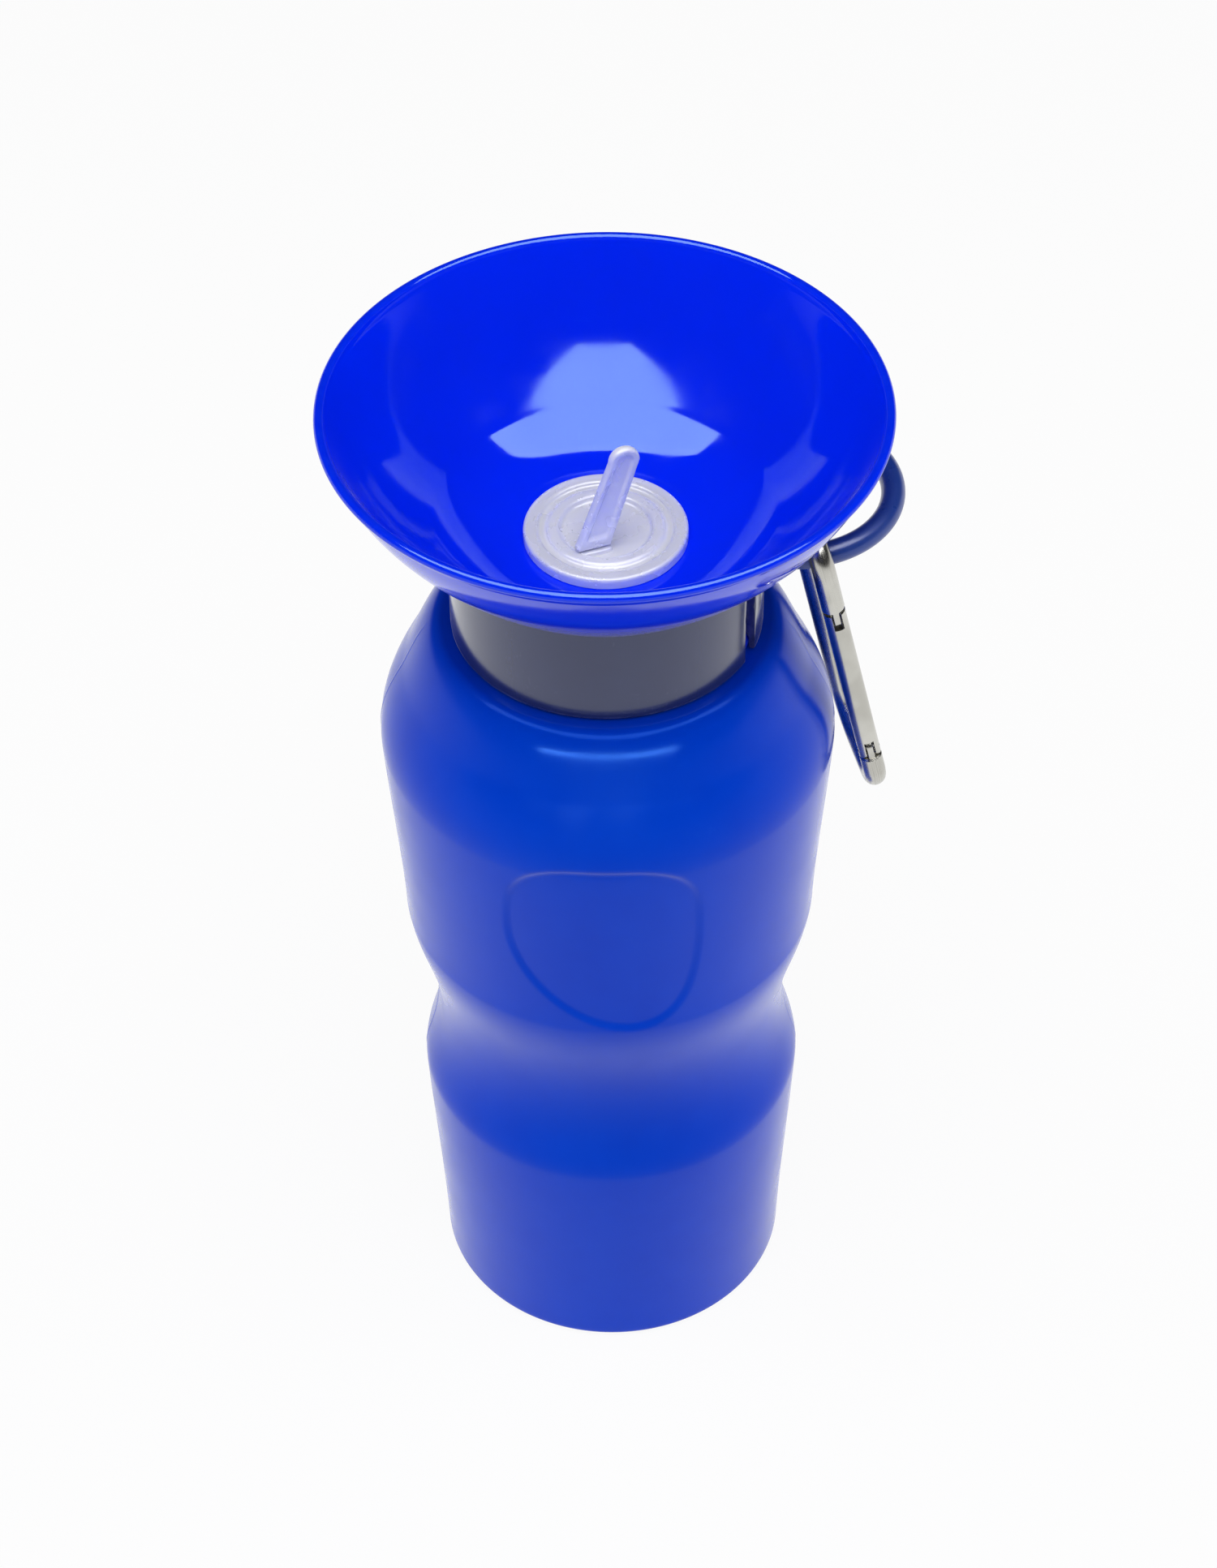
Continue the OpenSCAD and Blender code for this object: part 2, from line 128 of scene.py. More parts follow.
def evenly(path: Array, spacing: float) -> Array:
    """Path with new points at equal steps along its length, no further apart than the spacing."""
    gaps = np.linalg.norm(np.diff(path, axis=0), axis=1)
    along = np.concatenate([[0], np.cumsum(gaps)])
    count = max(2, int(math.ceil(along[-1] / spacing)) + 1)
    want = np.linspace(0, along[-1], count)
    return np.stack([np.interp(want, along, path[:, k]) for k in range(path.shape[1])], axis=1)


def aside(path: Array, distance: float) -> Array:
    """Flat path moved sideways by a distance, to the left of its direction."""
    run = np.gradient(path, axis=0)
    run /= np.linalg.norm(run, axis=1, keepdims=True)
    return path + distance * np.stack([-run[:, 1], run[:, 0]], axis=1)


def smooth(x: Array, low: float, high: float) -> Array:
    """Smooth step from 0 at low to 1 at high."""
    t = np.clip((x - low) / (high - low), 0, 1)
    return t * t * (3 - 2 * t)


# ---------------------------------------------------------------- meshes


def grid_quads(rows: int, columns: int, wrap_rows: bool, wrap_columns: bool) -> Array:
    """Quads of a grid of points, row by row, closed on itself along either direction."""
    i = np.arange(rows if wrap_rows else rows - 1)[:, None]
    j = np.arange(columns if wrap_columns else columns - 1)[None, :]
    i2, j2 = (i + 1) % rows, (j + 1) % columns
    quads = np.stack([i * columns + j, i * columns + j2, i2 * columns + j2, i2 * columns + j], axis=-1)
    return quads.reshape(-1, 4)


def build_mesh(name: str, points: Array, quads: Array, triangles: Array, edge: Array, around: Array,
               crease: float = 34.0) -> bpy.types.Object:
    """Closed mesh with smooth shading, an edge attribute and a surface coordinate per point.

    The signed volume, a sixth of the sum of each triangle's triple product, tells if the faces point
    inwards, and then they are all turned round.

    Args:
        name: Name of the piece.
        points: Points in millimetres.
        quads: Corner numbers of the four-sided faces.
        triangles: Corner numbers of the three-sided faces.
        edge: How sharp an outer edge each point lies on, from 0 to 1.
        around: Two surface coordinates of each point, in millimetres.
        crease: Angle in degrees above which an edge is shaded sharp.

    Returns:
        The new object.
    """
    halves = np.concatenate([quads[:, [0, 1, 2]], quads[:, [0, 2, 3]], triangles.reshape(-1, 3)])
    a, b, c = points[halves[:, 0]], points[halves[:, 1]], points[halves[:, 2]]
    if np.einsum("ij,ij->i", a, np.cross(b, c)).sum() < 0:
        quads, triangles = quads[:, ::-1], triangles.reshape(-1, 3)[:, ::-1]
    loops = np.concatenate([quads.ravel(), triangles.ravel()]).astype(np.int32)
    sizes = np.concatenate([np.full(len(quads), 4), np.full(len(triangles.reshape(-1, 3)), 3)])
    starts = np.concatenate([[0], np.cumsum(sizes)[:-1]]).astype(np.int32)
    mesh = bpy.data.meshes.new(name)
    mesh.vertices.add(len(points))
    mesh.vertices.foreach_set("co", (points * MM).astype(np.float32).ravel())
    mesh.loops.add(len(loops))
    mesh.loops.foreach_set("vertex_index", loops)
    mesh.polygons.add(len(sizes))
    mesh.polygons.foreach_set("loop_start", starts)
    mesh.update(calc_edges=True)
    mesh.validate()
    mesh.polygons.foreach_set("use_smooth", np.ones(len(mesh.polygons), bool))
    mesh.set_sharp_from_angle(angle=math.radians(crease))
    mesh.attributes.new("edge", "FLOAT", "POINT").data.foreach_set("value", edge.astype(np.float32))
    wide = np.column_stack([around, np.zeros(len(around))]).astype(np.float32)
    mesh.attributes.new("along", "FLOAT_VECTOR", "POINT").data.foreach_set("vector", wide.ravel())
    piece = bpy.data.objects.new(name, mesh)
    bpy.context.scene.collection.objects.link(piece)
    return piece


def edge_of(profile: Array, closed: bool) -> Array:
    """How tightly a flat profile bends outwards at each point: 0 when flat, 1 from a radius of 0.8."""
    if closed:
        before, after = np.roll(profile, 1, axis=0), np.roll(profile, -1, axis=0)
    else:
        before = np.concatenate([profile[:1], profile[:-1]])
        after = np.concatenate([profile[1:], profile[-1:]])
    one, two = profile - before, after - profile
    lengths = 0.5 * (np.linalg.norm(one, axis=1) + np.linalg.norm(two, axis=1)) + 1e-6
    cross = one[:, 0] * two[:, 1] - one[:, 1] * two[:, 0]
    turn = np.arctan2(cross, (one * two).sum(axis=1)) / lengths
    middle = profile.mean(axis=0)
    area = ((profile[:, 0] - middle[0]) * (after[:, 1] - middle[1])
            - (after[:, 0] - middle[0]) * (profile[:, 1] - middle[1])).sum()
    return smooth(turn * (1 if area > 0 else -1), 0.35, 1.25)


def turned(name: str, profile: Array, angles: Array | None = None, swell=None) -> bpy.types.Object:
    """Profile turned round the Z axis.

    A point at angle a lies at (r cos a, r sin a, z), where r and z run along the profile. A profile
    whose two ends lie on the axis is closed there by a fan of triangles, and any other is a ring.

    Args:
        name: Name of the piece.
        profile: Points (r, z).
        angles: Angles in radians, evenly spaced if left out.
        swell: Function of radius, height and angle grids that gives how far a point moves outwards.

    Returns:
        The new object.
    """
    angles = np.linspace(0, 2 * math.pi, 192, endpoint=False) if angles is None else angles
    solid = abs(profile[0, 0]) < 1e-6 and abs(profile[-1, 0]) < 1e-6
    body = profile[1:-1] if solid else profile
    edge = edge_of(profile, not solid)
    edge_body = edge[1:-1] if solid else edge
    r, a = np.meshgrid(body[:, 0], angles, indexing="ij")
    z = np.broadcast_to(body[:, 1][:, None], r.shape)
    if swell is not None:
        r = r + swell(r, z, a)
    points = np.stack([r * np.cos(a), r * np.sin(a), z], axis=-1).reshape(-1, 3)
    run = np.concatenate([[0], np.cumsum(np.linalg.norm(np.diff(body, axis=0), axis=1))])
    around = np.stack([r * a, np.broadcast_to(run[:, None], r.shape)], axis=-1).reshape(-1, 2)
    edges = np.repeat(edge_body, len(angles))
    rows, columns = r.shape
    quads = grid_quads(rows, columns, not solid, True)
    triangles = np.zeros((0, 3), int)
    if solid:
        j = np.arange(columns)
        j2 = (j + 1) % columns
        low, high = len(points), len(points) + 1
        last = (rows - 1) * columns
        triangles = np.concatenate([
            np.stack([np.full(columns, low), j2, j], axis=1),
            np.stack([np.full(columns, high), last + j, last + j2], axis=1)])
        points = np.concatenate([points, [[0, 0, profile[0, 1]], [0, 0, profile[-1, 1]]]])
        around = np.concatenate([around, [[0, 0], [0, run[-1]]]])
        edges = np.concatenate([edges, [0, 0]])
    return build_mesh(name, points, quads, triangles, edges, around)


def swept(name: str, path: Array, section: Array, up: Array, scale: Array | None = None,
          crease: float = 34.0) -> bpy.types.Object:
    """Closed section carried along an open path, with a fan of triangles over each end.

    At each point of the path the section's first axis lies along up cross the direction of travel and
    its second along up, so the section never twists, and it may grow or shrink on the way.

    Args:
        name: Name of the piece.
        path: Points of the path.
        section: Points of the section, closed.
        up: Direction that the section's second axis keeps, one for the whole path or one per point.
        scale: Size of the section at each point.
        crease: Angle in degrees above which an edge is shaded sharp.

    Returns:
        The new object.
    """
    run = np.gradient(path, axis=0)
    run /= np.linalg.norm(run, axis=1, keepdims=True)
    up = np.broadcast_to(np.asarray(up, float), path.shape)
    side = np.cross(up, run)
    side /= np.linalg.norm(side, axis=1, keepdims=True)
    top = np.cross(run, side)
    scale = np.ones(len(path)) if scale is None else scale
    across = section[:, 0][None, :, None] * side[:, None, :] + section[:, 1][None, :, None] * top[:, None, :]
    points = path[:, None, :] + across * scale[:, None, None]
    rows, columns = points.shape[:2]
    length = np.concatenate([[0], np.cumsum(np.linalg.norm(np.diff(path, axis=0), axis=1))])
    turn = np.arange(columns) / columns * 2 * math.pi * np.abs(section).max()
    around = np.stack(np.broadcast_arrays(length[:, None], turn[None, :]), axis=-1).reshape(-1, 2)
    j = np.arange(columns)
    j2 = (j + 1) % columns
    first, final = rows * columns, rows * columns + 1
    last = (rows - 1) * columns
    triangles = np.concatenate([
        np.stack([np.full(columns, first), j2, j], axis=1),
        np.stack([np.full(columns, final), last + j, last + j2], axis=1)])
    points = np.concatenate([points.reshape(-1, 3), path[:1], path[-1:]])
    around = np.concatenate([around, [[0, 0], [length[-1], 0]]])
    edges = np.concatenate([np.tile(edge_of(section, True), rows), [0, 0]])
    return build_mesh(name, points, grid_quads(rows, columns, False, True), triangles, edges, around, crease)


def round_section(radius: float, sides: int = 40) -> Array:
    """Circle of a rod."""
    a = np.linspace(0, 2 * math.pi, sides, endpoint=False)
    return radius * np.stack([np.cos(a), np.sin(a)], axis=1)


def soft_ends(path: Array, radius: float, rounding: float) -> tuple[Array, Array]:
    """Adds points near both ends of a rod's path, and the rod's scale there, for rounded ends.

    Within the rounding of an end the rod shrinks as a quarter circle of that radius.

    Args:
        path: Path of the rod's middle.
        radius: Radius of the rod.
        rounding: Radius of the edge between the rod's side and its end.

    Returns:
        The path and the scale of the section at each of its points.
    """
    t = np.linspace(0, 1, 9)
    inset = rounding * (1 - np.sin(t * math.pi / 2))
    shrink = 1 - rounding / radius * (1 - np.cos(t * math.pi / 2))
    start, end = path[1] - path[0], path[-2] - path[-1]
    start, end = start / np.linalg.norm(start), end / np.linalg.norm(end)
    head = path[0] + start * (rounding - inset[:, None])
    tail = path[-1] + end * (rounding - inset[:, None])
    keep_head = (path - path[0]) @ start > rounding * 1.05
    keep_tail = (path - path[-1]) @ end > rounding * 1.05
    far_head = np.linalg.norm(path - path[0], axis=1) > rounding * 3
    far_tail = np.linalg.norm(path - path[-1], axis=1) > rounding * 3
    middle = path[(keep_head | far_head) & (keep_tail | far_tail)]
    head_scale, tail_scale = shrink[::-1], shrink[::-1]
    return (np.concatenate([head, middle, tail[::-1]]),
            np.concatenate([head_scale, np.ones(len(middle)), tail_scale[::-1]]))


def screw_ridge(name: str, root: float, crest: float, turns: float, low: float, pitch: float,
                start: float) -> bpy.types.Object:
    """Ridge of a screw thread on a cylinder.

    The section has a wide root and a narrow rounded crest. Its middle rises by the pitch in each turn,
    and its height grows and fades with a smooth step over the first and last tenth of its length.

    Args:
        name: Name of the piece.
        root: Radius of the ridge's root.
        crest: Radius of its crest.
        turns: How many turns it makes.
        low: Height of its start.
        pitch: Rise in one turn.
        start: Angle of its start in degrees.

    Returns:
        The new object.
    """
    share = np.linspace(0, 1, int(turns * 90))
    angle = math.radians(start) + 2 * math.pi * turns * share
    fade = 0.12 + 0.88 * smooth(share, 0, 0.1) * smooth(1 - share, 0, 0.1)
    u = np.linspace(-1, 1, 11)
    reach = np.concatenate([[0], (1 - np.abs(u) ** 3), [0]])
    width = np.concatenate([[-0.85], u * 0.72, [0.85]])
    r = root + (crest - root) * reach[None, :] * fade[:, None]
    z = low + pitch * turns * share[:, None] + width[None, :]
    a = np.broadcast_to(angle[:, None], r.shape)
    points = np.stack([r * np.cos(a), r * np.sin(a), z], axis=-1)
    rows, columns = r.shape
    j = np.arange(columns)
    j2 = (j + 1) % columns
    last = (rows - 1) * columns
    flat = points.reshape(-1, 3)
    middle = np.stack([flat[:columns].mean(axis=0), flat[-columns:].mean(axis=0)])
    triangles = np.concatenate([
        np.stack([np.full(columns, rows * columns), j2, j], axis=1),
        np.stack([np.full(columns, rows * columns + 1), last + j, last + j2], axis=1)])
    edge = np.concatenate([np.tile(smooth(reach, 0.6, 1.0), rows), [0, 0]])
    around = np.zeros((len(flat) + 2, 2))
    return build_mesh(name, np.concatenate([flat, middle]), grid_quads(rows, columns, False, True),
                      triangles, edge, around)


# ---------------------------------------------------------------- shader kit


def paint(red: int, green: int, blue: int) -> tuple[float, float, float, float]:
    """Colour of a paint chart, 0 to 255 a channel, as the linear colour that a shader takes."""
    def linear(level: int) -> float:
        """One channel: a straight foot and a power of 2.4 above it."""
        c = level / 255
        return c / 12.92 if c <= 0.04045 else ((c + 0.055) / 1.055) ** 2.4
    return (linear(red), linear(green), linear(blue), 1.0)


class Gloss(Enum):
    """How glossy a plastic comes out of its mould: the lowest and the highest roughness."""

    POLISHED = (0.05, 0.11)
    GLOSSY = (0.13, 0.22)
    SATIN = (0.24, 0.36)
    CLOUDY = (0.18, 0.34)


class ShaderGroup:
    """One node group with named inputs and outputs."""

    def __init__(self, name: str, inputs: dict, outputs: dict) -> None:
        """Makes the group and its sockets.

        Args:
            name: Name of the group.
            inputs: Default value of each input, a number or a colour.
            outputs: Socket type of each output.
        """
        self.tree = bpy.data.node_groups.new(name, "ShaderNodeTree")
        for label, value in inputs.items():
            kind = "NodeSocketColor" if isinstance(value, tuple) else "NodeSocketFloat"
            made = self.tree.interface.new_socket(label, in_out="INPUT", socket_type=kind)
            made.default_value = value
        for label, kind in outputs.items():
            self.tree.interface.new_socket(label, in_out="OUTPUT", socket_type=kind)
        self.source = self.tree.nodes.new("NodeGroupInput")
        self.sink = self.tree.nodes.new("NodeGroupOutput")


class Wires:
    """Short ways to place and join nodes in one tree."""

    def __init__(self, tree: bpy.types.NodeTree) -> None:
        """Keeps the tree."""
        self.tree = tree

    def node(self, kind: str, **settings) -> bpy.types.Node:
        """New node with settings, where a setting is a property of the node."""
        made = self.tree.nodes.new(kind)
        for key, value in settings.items():
            setattr(made, key, value)
        return made

    def join(self, source, target) -> None:
        """Link from an output to an input."""
        self.tree.links.new(source, target)

    def noise(self, place, scale: float, detail: float = 2.0, rough: float = 0.5):
        """Fractal noise at a place; gives its value, about 0.5 on average."""
        made = self.node("ShaderNodeTexNoise")
        made.inputs["Scale"].default_value = scale
        made.inputs["Detail"].default_value = detail
        made.inputs["Roughness"].default_value = rough
        self.join(place, made.inputs["Vector"])
        return made.outputs["Fac"]

    def span(self, value, low, high, to_low=0.0, to_high=1.0):
        """Value carried from one range to another with clamped ends; each bound is a number or an output."""
        made = self.node("ShaderNodeMapRange")
        for label, bound in zip(("From Min", "From Max", "To Min", "To Max"), (low, high, to_low, to_high)):
            if isinstance(bound, (int, float)):
                made.inputs[label].default_value = bound
            else:
                self.join(bound, made.inputs[label])
        self.join(value, made.inputs["Value"])
        return made.outputs["Result"]

    def maths(self, step: str, one, two=0.5):
        """One arithmetic step on two values, each a number or an output."""
        made = self.node("ShaderNodeMath", operation=step)
        for socket, value in zip(made.inputs, (one, two)):
            if isinstance(value, (int, float)):
                socket.default_value = value
            else:
                self.join(value, socket)
        return made.outputs[0]

    def blend(self, share, one, two):
        """Colour between two colours, each a colour or an output."""
        made = self.node("ShaderNodeMix", data_type="RGBA")
        ports = [s for s in made.inputs if s.enabled]
        self.join(share, ports[0])
        for socket, value in zip(ports[1:3], (one, two)):
            if isinstance(value, tuple):
                socket.default_value = value
            else:
                self.join(value, socket)
        return next(s for s in made.outputs if s.enabled)

    def stretched(self, place, x: float, y: float, z: float):
        """Place multiplied along each axis."""
        made = self.node("ShaderNodeMapping", vector_type="POINT")
        made.inputs["Scale"].default_value = (x, y, z)
        self.join(place, made.inputs["Vector"])
        return made.outputs["Vector"]


class ShaderKit:
    """The node groups that the finishes share."""

    def __init__(self) -> None:
        """Builds each group once."""
        self.skin = self._moulded_skin()
        self.hairlines = self._hairlines()
        self.rub = self._edge_rub()
        self.drawn = self._drawn_wire()

    def _moulded_skin(self) -> bpy.types.NodeTree:
        """Skin of a moulding: slow tint variation, uneven gloss and a faint orange peel.

        Returns:
            The group; its Tint is a share from 0 to 1, its Roughness and Height feed the shader.
        """
        group = ShaderGroup("moulded_skin", {"Rough Low": 0.1, "Rough High": 0.2, "Peel": 1.0},
                            {"Tint": "NodeSocketFloat", "Roughness": "NodeSocketFloat",
                             "Height": "NodeSocketFloat"})
        w = Wires(group.tree)
        place = w.node("ShaderNodeTexCoord").outputs["Object"]
        flow = w.noise(w.stretched(place, 1.0, 1.0, 0.45), 34, 3)
        cloud = w.noise(place, 130, 3)
        peel = w.noise(place, 420, 2)
        grain = w.noise(place, 2600, 2)
        w.join(w.span(w.maths("ADD", flow, w.maths("MULTIPLY", cloud, 0.35)), 0.45, 0.92),
               group.sink.inputs["Tint"])
        w.join(w.span(cloud, 0.32, 0.68, group.source.outputs["Rough Low"], group.source.outputs["Rough High"]),
               group.sink.inputs["Roughness"])
        bumps = w.maths("ADD", peel, w.maths("MULTIPLY", grain, 0.3))
        w.join(w.maths("MULTIPLY", bumps, group.source.outputs["Peel"]), group.sink.inputs["Height"])
        return group.tree

    def _hairlines(self) -> bpy.types.NodeTree:
        """Sparse fine scuffs in two directions, as handling leaves on a glossy moulding.

        Returns:
            The group; its Mask is 1 on a scuff and 0 elsewhere.
        """
        group = ShaderGroup("hairlines", {"Amount": 0.5}, {"Mask": "NodeSocketFloat"})
        w = Wires(group.tree)
        place = w.node("ShaderNodeTexCoord").outputs["Object"]
        first = w.noise(w.stretched(place, 1.0, 0.06, 0.35), 1500, 1)
        second = w.noise(w.stretched(place, 0.08, 1.0, 0.5), 1200, 1)
        area = w.span(w.noise(place, 55, 2), 0.5, 0.68)
        lines = w.maths("MAXIMUM", w.span(first, 0.66, 0.74), w.span(second, 0.68, 0.76))
        mask = w.maths("MULTIPLY", w.maths("MULTIPLY", lines, area), group.source.outputs["Amount"])
        w.join(mask, group.sink.inputs["Mask"])
        return group.tree

    def _edge_rub(self) -> bpy.types.NodeTree:
        """Rubbed outer edges: the mesh's edge attribute broken up by noise.

        Returns:
            The group; its Mask is up to 1 on a worn edge.
        """
        group = ShaderGroup("edge_rub", {"Wear": 0.5}, {"Mask": "NodeSocketFloat"})
        w = Wires(group.tree)
        edge = w.node("ShaderNodeAttribute", attribute_name="edge").outputs["Fac"]
        place = w.node("ShaderNodeTexCoord").outputs["Object"]
        patch = w.span(w.noise(place, 300, 4, 0.65), 0.38, 0.66)
        w.join(w.maths("MULTIPLY", w.maths("MULTIPLY", edge, patch), group.source.outputs["Wear"]),
               group.sink.inputs["Mask"])
        return group.tree

    def _drawn_wire(self) -> bpy.types.NodeTree:
        """Drawn and tumbled metal: long streaks along the rod and small dings.

        Returns:
            The group; its Streak is a share from 0 to 1 and its Height feeds a bump.
        """
        group = ShaderGroup("drawn_wire", {"Dings": 0.3},
                            {"Streak": "NodeSocketFloat", "Height": "NodeSocketFloat"})
        w = Wires(group.tree)
        along = w.node("ShaderNodeAttribute", attribute_name="along").outputs["Vector"]
        streak = w.noise(w.stretched(along, 0.05, 3.0, 1.0), 1.6, 4, 0.6)
        place = w.node("ShaderNodeTexCoord").outputs["Object"]
        dings = w.span(w.noise(place, 620, 1), 0.66, 0.78)
        w.join(w.span(streak, 0.3, 0.7), group.sink.inputs["Streak"])
        pits = w.maths("MULTIPLY", dings, group.source.outputs["Dings"])
        w.join(w.maths("SUBTRACT", w.maths("MULTIPLY", streak, 0.4), pits), group.sink.inputs["Height"])
        return group.tree

    def place(self, wires: Wires, tree: bpy.types.NodeTree, **values: float) -> bpy.types.Node:
        """Puts one of the groups into a material with that material's own input values."""
        made = wires.node("ShaderNodeGroup", node_tree=tree)
        for label, value in values.items():
            made.inputs[label.replace("_", " ")].default_value = value
        return made


# ---------------------------------------------------------------- finishes


@dataclass(frozen=True)
class Plastic:
    """Opaque moulded plastic with tint variation, peel, scuffs and rubbed edges."""

    name: str
    colour: tuple
    deep: tuple
    rubbed: tuple
    gloss: Gloss
    mirror: tuple = (1.0, 1.0, 1.0, 1.0)
    coat: float = 0.2
    sheen: float = 0.0
    peel: float = 1.0
    bump_mm: float = 0.012
    scuffs: float = 0.4
    wear: float = 0.5
    specular: float = 0.5

    def material(self, kit: ShaderKit) -> bpy.types.Material:
        """Builds the material.

        Args:
            kit: The shared node groups.

        Returns:
            The new material.
        """
        made, w, shader = blank_material(self.name)
        low, high = self.gloss.value
        skin = kit.place(w, kit.skin, Rough_Low=low, Rough_High=high, Peel=self.peel)
        scuff = kit.place(w, kit.hairlines, Amount=self.scuffs)
        rub = kit.place(w, kit.rub, Wear=self.wear)
        base = w.blend(skin.outputs["Tint"], self.colour, self.deep)
        base = w.blend(w.maths("MULTIPLY", scuff.outputs["Mask"], 0.35), base, self.rubbed)
        base = w.blend(rub.outputs["Mask"], base, self.rubbed)
        w.join(base, shader.inputs["Base Color"])
        worn = w.maths("MAXIMUM", scuff.outputs["Mask"], rub.outputs["Mask"])
        rough = w.maths("ADD", skin.outputs["Roughness"], w.maths("MULTIPLY", worn, 0.22))
        w.join(rough, shader.inputs["Roughness"])
        depth = w.maths("SUBTRACT", skin.outputs["Height"], w.maths("MULTIPLY", scuff.outputs["Mask"], 0.5))
        add_bump(w, shader, depth, self.bump_mm)
        shader.inputs["Specular Tint"].default_value = self.mirror
        shader.inputs["Specular IOR Level"].default_value = self.specular
        shader.inputs["Coat Weight"].default_value = self.coat
        shader.inputs["Coat Roughness"].default_value = low
        shader.inputs["Sheen Weight"].default_value = self.sheen
        shader.inputs["Sheen Roughness"].default_value = 0.18
        return made


@dataclass(frozen=True)
class Translucent:
    """Soft clear rubber or plastic that scatters light, with flow marks and dulled edges."""

    name: str
    colour: tuple
    milk: tuple
    gloss: Gloss
    clear: float
    index: float = 1.42
    bump_mm: float = 0.015

    def material(self, kit: ShaderKit) -> bpy.types.Material:
        """Builds the material.

        Args:
            kit: The shared node groups.

        Returns:
            The new material.
        """
        made, w, shader = blank_material(self.name)
        low, high = self.gloss.value
        skin = kit.place(w, kit.skin, Rough_Low=low, Rough_High=high, Peel=0.5)
        rub = kit.place(w, kit.rub, Wear=0.35)
        base = w.blend(skin.outputs["Tint"], self.colour, self.milk)
        w.join(w.blend(rub.outputs["Mask"], base, self.milk), shader.inputs["Base Color"])
        w.join(w.maths("ADD", skin.outputs["Roughness"], w.maths("MULTIPLY", rub.outputs["Mask"], 0.2)),
               shader.inputs["Roughness"])
        add_bump(w, shader, skin.outputs["Height"], self.bump_mm)
        shader.inputs["IOR"].default_value = self.index
        shader.inputs["Transmission Weight"].default_value = self.clear
        shader.inputs["Coat Weight"].default_value = 0.3
        shader.inputs["Coat Roughness"].default_value = 0.08
        return made


@dataclass(frozen=True)
class Metal:
    """Drawn metal rod with streaks along it, dings and brighter rubbed edges."""

    name: str
    colour: tuple
    dark: tuple
    rough_low: float
    rough_high: float
    dings: float = 0.3
    bump_mm: float = 0.01

    def material(self, kit: ShaderKit) -> bpy.types.Material:
        """Builds the material.

        Args:
            kit: The shared node groups.

        Returns:
            The new material.
        """
        made, w, shader = blank_material(self.name)
        wire = kit.place(w, kit.drawn, Dings=self.dings)
        rub = kit.place(w, kit.rub, Wear=0.7)
        place = w.node("ShaderNodeTexCoord").outputs["Object"]
        smudge = w.span(w.noise(place, 90, 3), 0.4, 0.65)
        base = w.blend(w.maths("MULTIPLY", smudge, wire.outputs["Streak"]), self.colour, self.dark)
        w.join(w.blend(rub.outputs["Mask"], base, self.colour), shader.inputs["Base Color"])
        w.join(w.span(wire.outputs["Streak"], 0.0, 1.0, self.rough_low, self.rough_high),
               shader.inputs["Roughness"])
        add_bump(w, shader, wire.outputs["Height"], self.bump_mm)
        shader.inputs["Metallic"].default_value = 1.0
        return made


def blank_material(name: str) -> tuple[bpy.types.Material, Wires, bpy.types.Node]:
    """New node material with only its shader and output; gives it, its wires and its shader."""
    made = bpy.data.materials.new(name)
    made.use_nodes = True
    shader = made.node_tree.nodes["Principled BSDF"]
    return made, Wires(made.node_tree), shader


def add_bump(wires: Wires, shader: bpy.types.Node, height, depth_mm: float) -> None:
    """Feeds a height into the shader's normal, with its depth in millimetres."""
    bump = wires.node("ShaderNodeBump")
    bump.inputs["Strength"].default_value = 0.6
    bump.inputs["Distance"].default_value = depth_mm * MM
    wires.join(height, bump.inputs["Height"])
    wires.join(bump.outputs["Normal"], shader.inputs["Normal"])


BOTTLE_BLUE = Plastic("bottle_blue", paint(0, 62, 202), paint(0, 56, 194), paint(40, 104, 222), Gloss.GLOSSY,
                      mirror=(0.05, 0.2, 0.6, 1.0), coat=0.0, sheen=0.18, specular=0.34, scuffs=0.12, wear=0.12, peel=0.2)
BOWL_BLUE = Plastic("bowl_blue", paint(0, 39, 234), paint(0, 36, 226), paint(30, 84, 232), Gloss.POLISHED,
                    mirror=(0.62, 1.0, 0.8, 1.0), coat=0.0, sheen=0.1, scuffs=0.12, wear=0.12, peel=0.1)
COLLAR_GREY = Plastic("collar_grey", paint(34, 42, 84), paint(30, 36, 76), paint(110, 110, 150), Gloss.GLOSSY,
                      mirror=(0.7, 0.8, 1.0, 1.0), coat=0.7, sheen=0.5, scuffs=0.3, wear=0.25, peel=0.3)
LOOP_NAVY = Plastic("loop_navy", paint(26, 60, 142), paint(20, 52, 130), paint(70, 98, 160), Gloss.SATIN,
                    coat=0.2, scuffs=0.4, wear=0.4)
SILICONE = Translucent("silicone_clear", paint(244, 245, 250), paint(252, 252, 255), Gloss.CLOUDY, 0.34)
TUBE_CLEAR = Translucent("tube_clear", paint(228, 232, 240), paint(240, 242, 248), Gloss.CLOUDY, 0.7, 1.49)
SILVER = Metal("carabiner_silver", paint(206, 205, 198), paint(168, 166, 158), 0.18, 0.34)
STEEL = Metal("steel", paint(170, 170, 172), paint(120, 120, 124), 0.2, 0.4, 0.15)


